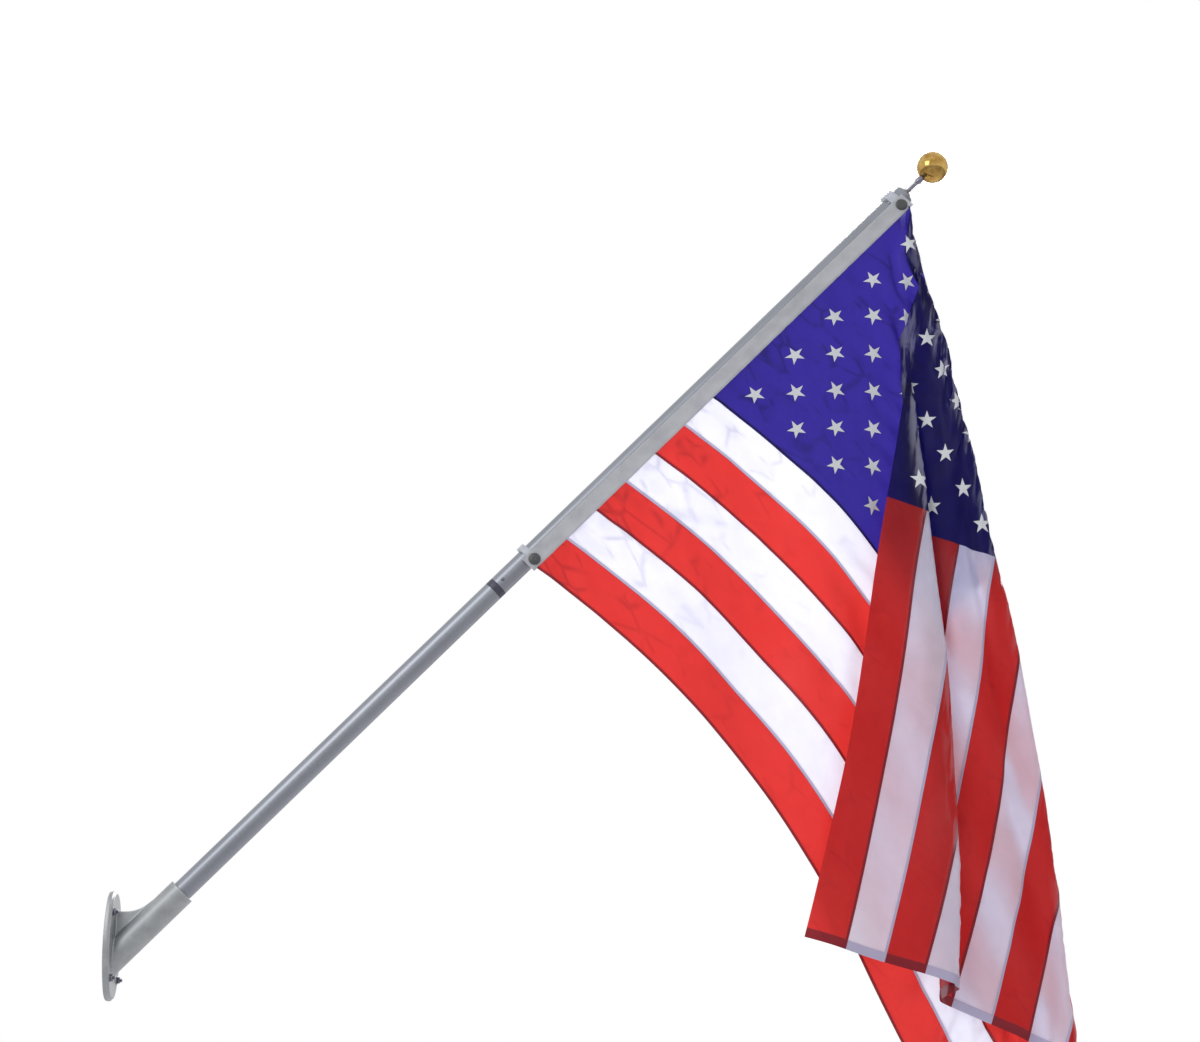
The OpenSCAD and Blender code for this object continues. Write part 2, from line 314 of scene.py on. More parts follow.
@dataclass(frozen=True)
class TubeFinish:
    """Satin anodised aluminium tube with fine drawing lines along it."""

    name: str = "satin_anodised_tube"
    colour: Colour = srgb(148, 152, 161)
    shadow: Colour = srgb(136, 139, 147)
    roughness: float = 0.36
    metallic: float = 0.7
    lean: float = 45.0
    line_stretch: tuple[float, float, float] = (420, 420, 5)
    line_depth: float = 0.03 * MM
    stain_scale: float = 7.0

    def make(self) -> Material:
        """Builds the material.

        Returns:
            The material.
        """
        g = Graph(self.name)
        lines = g.noise(g.turned(g.place(), self.lean, self.line_stretch), 1.0, 4.0, 0.65)
        stain = g.noise(g.place(), self.stain_scale, 4.0)
        colour = g.blend((lines * 0.55 + stain * 0.45).above(0.5, 0.5), self.shadow, self.colour)
        rough = lines * 0.08 + stain * 0.06 + (self.roughness - 0.07)
        return g.finish(g.principled(Base_Color=colour, Metallic=self.metallic, Roughness=rough,
                                     Normal=g.bump(lines, self.line_depth, 0.4)))


@dataclass(frozen=True)
class CastFinish:
    """Cast aluminium under a thin coat of silver-grey paint, slightly pebbled."""

    name: str = "painted_casting"
    colour: Colour = srgb(166, 169, 172)
    shadow: Colour = srgb(150, 153, 156)
    worn: Colour = srgb(206, 207, 209)
    roughness: float = 0.42
    metallic: float = 0.55
    pebble_scale: float = 520.0
    patch_scale: float = 38.0
    pebble_depth: float = 0.4 * MM

    def make(self) -> Material:
        """Builds the material.

        Returns:
            The material.
        """
        g = Graph(self.name)
        at = g.place()
        pebble = g.noise(at, self.pebble_scale, 3.0)
        patches = g.noise(at, self.patch_scale, 5.0, 0.6)
        edges = g.out("ShaderNodeNewGeometry", None, None, "Pointiness").above(0.54, 0.06)
        base = g.blend(patches.above(0.5, 0.5), self.shadow, self.colour)
        colour = g.blend(edges * 0.45, base, self.worn)
        rough = patches * 0.2 + self.roughness - 0.1
        height = pebble * 0.6 + patches * 0.4
        return g.finish(g.principled(Base_Color=colour, Metallic=self.metallic, Roughness=rough,
                                     Normal=g.bump(height, self.pebble_depth, 0.5)))


@dataclass(frozen=True)
class PlainMetal:
    """Bare metal of a small piece, with faint scratches."""

    name: str
    colour: Colour
    roughness: float
    scratch: float = 0.12
    lean: float = 45.0
    line_stretch: tuple[float, float, float] = (600, 600, 30)
    line_depth: float = 0.03 * MM
    dull_scale: float = 90.0

    def make(self) -> Material:
        """Builds the material.

        Returns:
            The material.
        """
        g = Graph(self.name)
        lines = g.noise(g.turned(g.place(), self.lean, self.line_stretch), 1.0, 4.0)
        dull = g.noise(g.place(), self.dull_scale, 4.0)
        dark = tuple(c * 0.82 for c in self.colour)
        colour = g.blend(dull.above(0.5, 0.6), dark, self.colour)
        return g.finish(g.principled(Base_Color=colour, Metallic=1.0,
                                     Roughness=lines * self.scratch + self.roughness - self.scratch / 2,
                                     Normal=g.bump(lines, self.line_depth, 0.5)))


@dataclass(frozen=True)
class PlasticFinish:
    """Moulded plastic with a fine matt grain."""

    name: str
    colour: Colour
    roughness: float
    clear: float = 0.0
    grain_scale: float = 900.0
    grain_depth: float = 0.12 * MM
    cloud_scale: float = 60.0

    def make(self) -> Material:
        """Builds the material.

        Returns:
            The material.
        """
        g = Graph(self.name)
        grain = g.noise(g.place(), self.grain_scale, 2.0)
        cloud = g.noise(g.place(), self.cloud_scale, 3.0)
        pale = tuple(min(1.0, c * 1.18 + 0.01) for c in self.colour)
        colour = g.blend(cloud.above(0.5, 0.5), self.colour, pale)
        return g.finish(g.principled(Base_Color=colour, Roughness=grain * 0.12 + self.roughness - 0.06,
                                     Normal=g.bump(grain, self.grain_depth, 0.5),
                                     Transmission_Weight=self.clear))


@dataclass(frozen=True)
class GoldFinish:
    """Bright gold-anodised metal with faint spinning rings and a little tarnish."""

    name: str = "bright_gold"
    colour: Colour = srgb(200, 166, 98)
    deep: Colour = srgb(160, 122, 60)
    lean: float = 45.0
    ring_stretch: tuple[float, float, float] = (14, 14, 700)
    ring_depth: float = 0.02 * MM
    tarnish_scale: float = 55.0

    def make(self) -> Material:
        """Builds the material.

        Returns:
            The material.
        """
        g = Graph(self.name)
        rings = g.noise(g.turned(g.place(), self.lean, self.ring_stretch), 1.0, 3.0)
        tarnish = g.noise(g.place(), self.tarnish_scale, 5.0, 0.6)
        colour = g.blend(tarnish.above(0.52, 0.4), self.deep, self.colour)
        return g.finish(g.principled(Base_Color=colour, Metallic=1.0, Roughness=tarnish * 0.1 + 0.07,
                                     Normal=g.bump(rings, self.ring_depth, 0.4)))


@dataclass(frozen=True)
class CanvasFinish:
    """Heavy white duck of the header, woven, a little soiled in soft patches."""

    name: str = "header_duck"
    colour: Colour = srgb(214, 216, 221)
    soiled: Colour = srgb(198, 199, 206)
    dirt_scale: float = 24.0
    thread_pitch: float = 1.1 * MM
    thread_depth: float = 0.3 * MM
    glow: float = 0.25

    def make(self) -> Material:
        """Builds the material.

        Returns:
            The material.
        """
        g = Graph(self.name)
        uv = g.node("ShaderNodeSeparateXYZ", None, {0: g.place("UV")})
        turn = 2 * math.pi / self.thread_pitch
        warp = (Shade(g, uv.outputs[0]) * turn).sine()
        weft = (Shade(g, uv.outputs[1]) * turn).sine()
        weave = warp * weft * 0.5 + 0.5
        dirt = g.noise(g.place(), self.dirt_scale, 5.0, 0.6)
        colour = g.blend(dirt.above(0.55, 0.35), self.colour, self.soiled)
        body = g.principled(Base_Color=colour, Roughness=0.85,
                            Normal=g.bump(weave, self.thread_depth, 0.5))
        return g.finish(g.lit_through(self.glow, body, self.colour))


@dataclass(frozen=True)
class NylonFinish:
    """Flag nylon: thin, glossy, and lit through from behind.

    The UV map holds metres along the fly and metres below the strip's own upper edge.
    """

    name: str
    colour: Colour
    through: Colour
    # Darker colour painted as shade on the seams, the hem and the crease lines.
    seam_and_crease_painted_shade: Colour
    strip_width: float
    seam_width: float
    hem_at: float
    gloss: float = 0.4
    painted_crease_glint: float = 0.3
    glow: float = 0.62
    # Colour of the painted highlight laid along the creases.
    silver: Colour = srgb(206, 207, 220)
    pull_reach: float = 500 * MM
    thread_pitch: float = 1.6 * MM
    thread_depth: float = 0.12 * MM
    crumple_lean: float = 20.0
    crumple_stretch: tuple[float, float, float] = (34, 20, 22)
    crumple_depth: float = 1.6 * MM
    rumple_lean: float = -6.0
    rumple_stretch: tuple[float, float, float] = (75, 30, 10)
    rumple_depth: float = 4 * MM
    crinkle_lean: float = 40.0
    crinkle_stretch: tuple[float, float, float] = (22, 8, 9)
    crinkle_patch: float = 15.0
    stitch_edge: float = 0.8 * MM

    def make(self) -> Material:
        """Builds the material.

        Returns:
            The material.
        """
        g = Graph(self.name)
        uv = g.node("ShaderNodeSeparateXYZ", None, {0: g.place("UV")})
        along, below = Shade(g, uv.outputs[0]), Shade(g, uv.outputs[1])
        seam = below.above(self.strip_width - self.seam_width, self.stitch_edge)
        hem = along.above(self.hem_at, self.stitch_edge)
        thick = seam.math("MAXIMUM", hem)
        turn = 2 * math.pi / self.thread_pitch
        weave = (along * turn).sine() * (below * turn).sine() * 0.5 + 0.5
        crumple = g.noise(g.turned(g.place(), self.crumple_lean, self.crumple_stretch), 1.0, 4.0, 0.6)
        faded = tuple(min(1.0, c * 1.12 + 0.012) for c in self.colour)
        cloth = g.blend(crumple.above(0.5, 0.6), self.colour, faded)
        fold = g.out("ShaderNodeAttribute", {"attribute_name": "fold"}, None, "Fac")
        rumple = g.noise(g.turned(g.place(), self.rumple_lean, self.rumple_stretch), 1.0, 3.0, 0.55)
        creases = rumple * fold
        # Painted highlight: a silvery glint mixed into the colour along the creases; the same mask also
        # sets the coat's real gloss.
        gloss_and_painted_glint = rumple.above(0.54, 0.16) * fold.above(0.5, 0.6)
        pulled = 1.0 - along.above(self.pull_reach / 2, self.pull_reach)
        crinkle = self.crinkles(g, pulled)
        # Painted shade: the seam and hem bands, where thicker cloth lets less light through, take the
        # darker colour.
        sewn = g.blend(thick, cloth, self.seam_and_crease_painted_shade)
        # Painted shade: the crease lines darken the colour towards the darker colour, most where the
        # header pulls.
        shaded = g.blend(crinkle * (pulled * 0.12 + 0.1), sewn, self.seam_and_crease_painted_shade)
        colour = g.blend(gloss_and_painted_glint * self.painted_crease_glint, shaded, self.silver)
        woven = g.bump(weave, self.thread_depth, 0.35)
        normal = g.bump(creases, self.rumple_depth, 0.6, g.bump(crumple, self.crumple_depth, 0.45, woven))
        body = g.principled(Base_Color=colour, Roughness=crumple * 0.16 + 0.3,
                            Specular_IOR_Level=self.gloss, Coat_Weight=gloss_and_painted_glint, Coat_Roughness=0.14,
                            Normal=normal)
        dimmed = thick * 0.55 + crinkle * (pulled * 0.16 + 0.1)
        return g.finish(g.lit_through(dimmed * -self.glow + self.glow, body, self.through))

    def crinkles(self, g: Graph, pulled: Shade) -> Shade:
        """A patchy net of thin crease lines, thickest where the header pulls on the cloth.

        Args:
            g: The material's graph.
            pulled: How much the header pulls, from 0 to 1.

        Returns:
            A mask, 1 on the lines.
        """
        cells = g.turned(g.place(), self.crinkle_lean, self.crinkle_stretch)
        edge = g.out("ShaderNodeTexVoronoi", {"feature": "DISTANCE_TO_EDGE"},
                     {"Vector": cells, "Scale": 1.0})
        patches = g.noise(g.place(), self.crinkle_patch, 2.0)
        return (1.0 - edge.above(0.045, 0.09)) * (pulled * 0.06 + patches).above(0.56, 0.16)


@dataclass(frozen=True)
class ThreadFinish:
    """Satin embroidery and sewing thread."""

    name: str
    colour: Colour
    pitch: float = 0.9 * MM
    cloud_scale: float = 80.0
    thread_depth: float = 0.2 * MM

    def make(self) -> Material:
        """Builds the material.

        Returns:
            The material.
        """
        g = Graph(self.name)
        uv = g.node("ShaderNodeSeparateXYZ", None, {0: g.place("UV")})
        rows = (Shade(g, uv.outputs[1]) * (2 * math.pi / self.pitch)).sine() * 0.5 + 0.5
        cloud = g.noise(g.place("UV"), self.cloud_scale, 3.0)
        dark = tuple(c * 0.86 for c in self.colour)
        colour = g.blend((rows * 0.6 + cloud * 0.4).above(0.4, 0.6), dark, self.colour)
        return g.finish(g.principled(Base_Color=colour, Roughness=0.42, Sheen_Weight=0.2,
                                     Normal=g.bump(rows, self.thread_depth, 0.5)))


class Bench:
    """Modelling with Blender's own operators."""

    @staticmethod
    def clear() -> None:
        """Leaves every mode and deselects everything."""
        if bpy.context.object is not None and bpy.context.object.mode != "OBJECT":
            bpy.ops.object.mode_set(mode="OBJECT")
        bpy.ops.object.select_all(action="DESELECT")

    @classmethod
    def hold(cls, piece: Piece) -> Piece:
        """Selects one piece alone and makes it active.

        Args:
            piece: The piece.

        Returns:
            The same piece.
        """
        cls.clear()
        piece.select_set(True)
        bpy.context.view_layer.objects.active = piece
        return piece

    @classmethod
    @contextmanager
    def edited(cls, piece: Piece) -> Iterator[None]:
        """Opens a piece in edit mode with all of it selected, and closes it again.

        Args:
            piece: The piece.

        Returns:
            A context for the edit.
        """
        cls.hold(piece)
        bpy.ops.object.mode_set(mode="EDIT")
        bpy.ops.mesh.select_all(action="SELECT")
        yield
        bpy.ops.object.mode_set(mode="OBJECT")

    @classmethod
    def turned(cls, name: str, profile: Sequence[tuple[float, float]], segments: int) -> Piece:
        """Turns a closed piece about Z: a disc, extruded and scaled from ring to ring.

        Args:
            name: The piece's name.
            profile: Radius and height of each ring, from below to above.
            segments: Sides of each ring.

        Returns:
            The piece, standing at the origin.
        """
        cls.clear()
        radius, height = profile[0]
        bpy.ops.mesh.primitive_circle_add(vertices=segments, radius=radius, fill_type="NGON",
                                          location=(0, 0, height))
        piece = bpy.context.object
        piece.name = name
        bpy.ops.object.transform_apply(location=True)
        with cls.edited(piece):
            for next_radius, next_height in profile[1:]:
                rise = {"value": (0, 0, next_height - height)}
                bpy.ops.mesh.extrude_region_move(TRANSFORM_OT_translate=rise)
                scale = next_radius / radius
                bpy.ops.transform.resize(value=(scale, scale, 1), center_override=(0, 0, next_height))
                radius, height = next_radius, next_height
            bpy.ops.mesh.select_all(action="SELECT")
            bpy.ops.mesh.normals_make_consistent(inside=False)
        return piece

    @classmethod
    def modify(cls, piece: Piece, kind: str, **settings: Any) -> Piece:
        """Adds a modifier and applies it.

        Args:
            piece: The piece.
            kind: The modifier's type.
            settings: The modifier's properties.

        Returns:
            The same piece.
        """
        cls.hold(piece)
        modifier = piece.modifiers.new(kind.title(), kind)
        for key, value in settings.items():
            setattr(modifier, key, value)
        bpy.ops.object.modifier_apply(modifier=modifier.name)
        return piece

    @classmethod
    def eased(cls, piece: Piece, width: float) -> Piece:
        """Rounds the sharp edges and shades the rest smooth.

        Args:
            piece: The piece.
            width: Width of the rounding.

        Returns:
            The same piece.
        """
        cls.modify(piece, "BEVEL", width=width, segments=3, limit_method="ANGLE",
                   angle_limit=math.radians(35), harden_normals=False)
        cls.smooth(piece, 40)
        return piece

    @classmethod
    def smooth(cls, piece: Piece, angle: float) -> None:
        """Shades a piece smooth up to an angle in degrees."""
        cls.hold(piece)
        bpy.ops.object.shade_smooth_by_angle(angle=math.radians(angle))

    @classmethod
    def set_down(cls, piece: Piece, place: Matrix) -> Piece:
        """Moves a piece to its place and applies that to its mesh.

        Args:
            piece: The piece.
            place: Its place.

        Returns:
            The same piece.
        """
        cls.hold(piece)
        piece.matrix_world = place
        bpy.ops.object.transform_apply(location=True, rotation=True, scale=True)
        return piece

    @staticmethod
    def twin(piece: Piece, name: str) -> Piece:
        """Copies a piece.

        Args:
            piece: The piece.
            name: The copy's name.

        Returns:
            The copy, with a mesh of its own.
        """
        copy = piece.copy()
        copy.data = piece.data.copy()
        copy.name = name
        bpy.context.scene.collection.objects.link(copy)
        return copy

    @classmethod
    def copy_of(cls, node: str, name: str) -> Piece:
        """A merged copy of a CAD node's mesh, as a piece of its own.

        Args:
            node: The CAD node.
            name: The new piece's name.

        Returns:
            The copy.
        """
        piece = bpy.data.objects.new(name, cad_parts[node].data.copy())
        bpy.context.scene.collection.objects.link(piece)
        piece.data.materials.clear()
        with cls.edited(piece):
            bpy.ops.mesh.remove_doubles(threshold=0.00001)
            bpy.ops.mesh.customdata_custom_splitnormals_clear()
        return piece

    @classmethod
    def flats_joined(cls, piece: Piece) -> Piece:
        """Joins the triangles of each flat face.

        Args:
            piece: The piece.

        Returns:
            The same piece.
        """
        with cls.edited(piece):
            bpy.ops.mesh.dissolve_limited(angle_limit=math.radians(1))
        return piece

    @classmethod
    def joined(cls, name: str, pieces: Sequence[Piece]) -> Piece:
        """Joins several pieces into one.

        Args:
            name: The joined piece's name.
            pieces: The pieces.

        Returns:
            The joined piece.
        """
        cls.hold(pieces[0])
        for piece in pieces[1:]:
            piece.select_set(True)
        bpy.ops.object.join()
        pieces[0].name = name
        return pieces[0]


def dress(piece: Piece, material: Material) -> None:
    """Gives a piece one material all over.

    Args:
        piece: The piece.
        material: The material.
    """
    piece.data.materials.clear()
    piece.data.materials.append(material)
    for polygon in piece.data.polygons:
        polygon.material_index = 0


def hand_over(piece: Piece, finish: Material, body: Body, slot: Slot,
              *nodes: str) -> Piece:
    """Dresses a finished piece and lets it ride on its body.

    Args:
        piece: The piece.
        finish: Its material.
        body: The body that carries it.
        slot: The record's slot of its finish. Not used.
        nodes: CAD nodes that it stands for.

    Returns:
        The same piece.
    """
    dress(piece, finish)
    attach(piece, body.value)
    if nodes:
        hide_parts(*nodes)
    LOG.info("%s rides on %s, %d faces", piece.name, body.value, len(piece.data.polygons))
    return piece


@dataclass
class Layout:
    """Sizes that the pieces share, in metres, and places along the pole's axis."""

    plate_t: float = 14 * MM
    axis_drop: float = 22 * MM
    lean: float = math.radians(45)
    mouth: float = 198 * MM
    pole_r: float = 23 * MM
    pole_reach: float = 2287 * MM
    lower_reach: float = 942 * MM
    ring_drop: float = 34 * MM
    ring_wall: float = 8 * MM
    ring_flat: float = 2 * MM
    hoist: float = 1219 * MM
    fly: float = 1780 * MM
    header_w: float = 38 * MM
    header_t: float = 2 * MM
    header_extra: float = 9 * MM
    eyelet_inset: float = 20 * MM

    def __post_init__(self) -> None:
        """Works out the directions and the derived places."""
        self.along = Vector((math.cos(self.lean), 0, math.sin(self.lean)))
        self.across = Vector((math.sin(self.lean), 0, -math.cos(self.lean)))
        self.foot = Vector((self.plate_t, 0, -self.axis_drop))
        self.pole_top = self.mouth + self.pole_reach
        self.joint_at = self.mouth + self.lower_reach
        self.header_length = self.hoist + 2 * self.header_extra
        self.upper_ring = self.pole_top - self.ring_drop
        self.lower_ring = self.upper_ring - self.header_length + 2 * self.eyelet_inset
        self.header_mid = (self.upper_ring + self.lower_ring) / 2
        self.button_out = self.pole_r + self.ring_wall - self.ring_flat + self.header_t
        self.cloth_y = -self.button_out + self.header_t / 2

    def at(self, along: float, across: float = 0.0, side: float = 0.0) -> Vector:
        """A point by its distance along the pole, across it away from the wall, and along Y."""
        return self.foot + self.along * along + self.across * across + Vector((0, side, 0))

    def stand(self, along: float, across: float = 0.0, side: float = 0.0) -> Matrix:
        """A place whose local Z runs up the pole and whose local X points across it."""
        turn = Matrix((self.across, (0, 1, 0), self.along)).transposed().to_4x4()
        return Matrix.Translation(self.at(along, across, side)) @ turn


@dataclass
class Bracket:
    """The cast wall bracket and the bolts in its plate."""

    layout: Layout
    bolt_span_y: float = 72 * MM
    bolt_span_z: float = 140 * MM
    voxel: float = 1.5 * MM
    smoothing: int = 5
    washer_r: float = 9 * MM
    washer_t: float = 1.6 * MM
    washer_edge: float = 0.4 * MM
    nut_r: float = 7.5 * MM
    nut_h: float = 5.3 * MM
    nut_edge: float = 0.7 * MM
    stud_r: float = 4 * MM
    stud_h: float = 6 * MM
    stud_sink: float = 1 * MM
    stud_end: float = 0.8 * MM
    thread_pitch: float = 1.25 * MM
    thread_depth: float = 0.5 * MM
    washer_sink: float = 0.2 * MM

    def casting(self) -> Piece:
        """The bracket with its edges and roots rounded, as a casting comes out of its mould.

        Returns:
            The piece.
        """
        piece = Bench.copy_of("wall_bracket", "bracket_casting")
        Bench.modify(piece, "REMESH", mode="VOXEL", voxel_size=self.voxel, use_smooth_shade=True)
        Bench.modify(piece, "SMOOTH", factor=0.5, iterations=self.smoothing)
        return piece

    def bolt(self) -> Piece:
        """One nut on its stud, over a washer, standing along Z.

        Returns:
            The piece.
        """
        r, edge, top = self.washer_r, self.washer_edge, self.washer_t
        rim = [(r - edge, 0), (r, edge), (r, top - edge), (r - edge, top)]
        washer = Bench.turned("washer", rim, 32)
        nut = Bench.turned("nut", [(self.nut_r, top), (self.nut_r, top + self.nut_h)], 6)
        Bench.modify(nut, "BEVEL", width=self.nut_edge, segments=2, limit_method="ANGLE",
                     angle_limit=math.radians(40))
        rise = self.thread_pitch / 2
        foot = top + self.nut_h - self.stud_sink
        turns = [(self.stud_r - (self.thread_depth if k % 2 else 0.0), foot + k * rise)
                 for k in range(int(self.stud_h / rise))]
        tip = (self.stud_r - 2 * self.thread_depth, turns[-1][1] + self.stud_end)
        bolt = Bench.joined("bolt", [washer, nut, Bench.turned("stud", turns + [tip], 24)])
        Bench.smooth(bolt, 30)
        return bolt

    def build(self, cast: Material, steel: Material) -> None:
        """Makes the casting and its four bolts.

        Args:
            cast: Finish of the casting.
            steel: Finish of the bolts.
        """
        hand_over(self.casting(), cast, Body.BASE, Slot.CAST, "wall_bracket")
        upright = Matrix.Rotation(math.radians(90), 4, "Y")
        model = self.bolt()
        for row, z in (("upper", 1), ("lower", -1)):
            for side, y in (("near", -1), ("far", 1)):
                bolt = Bench.twin(model, f"wall_bolt_{row}_{side}")
                spin = Matrix.Rotation(math.radians(17 * y + 8 * z), 4, "Z")
                spot = Vector((self.layout.plate_t - self.washer_sink, y * self.bolt_span_y / 2,
                               z * self.bolt_span_z / 2))
                Bench.set_down(bolt, Matrix.Translation(spot) @ upright @ spin)
                hand_over(bolt, steel, Body.BASE, Slot.CAST)
        bpy.data.objects.remove(model)


@dataclass
class Pole:
    """The two tubes, the turning joint between them and the rivet that holds its bushing."""

    layout: Layout
    collar_edge: float = 0.7 * MM
    rivet_rise: float = 32.5 * MM
    rivet_r: float = 4.2 * MM
    rivet_h: float = 2.6 * MM
    rivet_sink: float = 1.2 * MM

    def rivet(self) -> Piece:
        """A domed rivet head, standing along Z.

        Returns:
            The piece.
        """
        steps = 7
        dome = [(self.rivet_r * math.cos(a), self.rivet_h * math.sin(a))
                for a in (k * math.pi / 2 / steps for k in range(steps))]
        head = Bench.turned("bushing_rivet", [(self.rivet_r, -self.rivet_sink)] + dome, 32)
        Bench.smooth(head, 50)
        return head

    def build(self, tube: Material, nylon: Material,
              steel: Material) -> None:
        """Dresses the tubes and the joint, and adds the rivet.

        Args:
            tube: Finish of the tubes.
            nylon: Finish of the collar.
            steel: Finish of the spindle and the rivet.
        """
        for node in ("lower_pole", "upper_pole"):
            dress(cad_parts[node], tube)
        dress(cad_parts["spindle"], steel)
        collar = Bench.flats_joined(Bench.copy_of("joint_bushing", "joint_collar"))
        Bench.eased(collar, self.collar_edge)
        hand_over(collar, nylon, Body.SPINNER, Slot.NYLON, "joint_bushing")
        head = self.rivet()
        towards = Matrix.Rotation(math.radians(90), 4, "X")
        spot = self.layout.stand(self.layout.joint_at + self.rivet_rise)
        Bench.set_down(head, spot @ towards @ Matrix.Translation((0, 0, self.layout.pole_r)))
        hand_over(head, steel, Body.SPINNER, Slot.POLE)


@dataclass
class Fittings:
    """The plastic rings on the pole and the buttons that hold the header to them."""

    layout: Layout
    ring_edge: float = 1.2 * MM
    button_r: float = 13.5 * MM
    button_h: float = 5 * MM
    rim_share: float = 0.32
    rim_in: float = 0.8 * MM
    rim_up: float = 0.6 * MM
    shank_r: float = 5 * MM
    shank_length: float = 9.5 * MM
    dimple_r: float = 3.2 * MM

    def button(self) -> Piece:
        """A domed button with a rolled rim and a small dimple, standing along Z.

        Returns:
            The piece.
        """
        r, h, low = self.button_r, self.button_h, self.rim_share
        shank = [(self.shank_r, -self.shank_length), (self.shank_r, 0.0)]
        rim = [(r - self.rim_in, 0.0), (r, self.rim_up), (r, h * low)]
        dome = [(r * math.cos(a), h * (low + (1 - low) * math.sin(a)))
                for a in np.linspace(0.25, 1.25, 10)]
        dimple = [(self.dimple_r * wide, h * high)
                  for wide, high in ((1, 0.985), (0.8, 0.93), (0.3, 0.9))]
        piece = Bench.turned("snap", shank + rim + dome + dimple, 64)
        Bench.smooth(piece, 40)
        return piece

    def build(self, ring: Material, dark: Material) -> None:
        """Makes both rings and both buttons.

        Args:
            ring: Finish of the rings.
            dark: Finish of the buttons.
        """
        towards = Matrix.Rotation(math.radians(90), 4, "X")
        model = self.button()
        for which, along in (("lower", self.layout.lower_ring), ("upper", self.layout.upper_ring)):
            band = Bench.flats_joined(Bench.copy_of(f"{which}_ring", f"{which}_band"))
            Bench.eased(band, self.ring_edge)
            hand_over(band, ring, Body.SPINNER, Slot.RING, f"{which}_ring")
            button = Bench.twin(model, f"{which}_snap")
            place = self.layout.stand(along, self.layout.header_w / 2, -self.layout.button_out)
            Bench.set_down(button, place @ towards)
            hand_over(button, dark, Body.SPINNER, Slot.BUTTON, f"{which}_button")
        bpy.data.objects.remove(model)


@dataclass
class Finial:
    """The cap, the stem, the lock sleeve and the gold ball."""

    layout: Layout
    cap_h: float = 12 * MM
    cap_edge: float = 1.2 * MM
    stem_length: float = 30 * MM
    stem_edge: float = 0.5 * MM
    sleeve_r: float = 7.5 * MM
    sleeve_length: float = 19 * MM
    sleeve_edge: float = 0.6 * MM
    ball_r: float = 37.5 * MM

    def ball(self) -> Piece:
        """The ball, with a small flat where the sleeve bears.

        Returns:
            The piece, standing along Z.
        """
        start = math.asin(self.sleeve_r / self.ball_r)
        centre = self.ball_r * math.cos(start)
        profile = [(self.ball_r * math.sin(a), centre - self.ball_r * math.cos(a))
                   for a in np.linspace(start, math.pi - 0.02, 60)]
        piece = Bench.turned("gold_globe", profile, 96)
        Bench.smooth(piece, 60)
        return piece

    def build(self, tube: Material, gold: Material,
              bright: Material) -> None:
        """Makes the finial's four pieces.

        Args:
            tube: Finish of the cap.
            gold: Finish of the ball.
            bright: Finish of the stem and the sleeve.
        """
        for node, name, edge, finish in (("end_cap", "pole_cap", self.cap_edge, tube),
                                         ("finial_stem", "ball_stem", self.stem_edge, bright),
                                         ("lock_sleeve", "ball_sleeve", self.sleeve_edge, bright)):
            piece = Bench.eased(Bench.flats_joined(Bench.copy_of(node, name)), edge)
            hand_over(piece, finish, Body.SPINNER, Slot.POLE, node)
        globe = self.ball()
        base = self.layout.pole_top + self.cap_h + self.stem_length + self.sleeve_length
        Bench.set_down(globe, self.layout.stand(base))
        hand_over(globe, gold, Body.SPINNER, Slot.GOLD, "finial_ball")


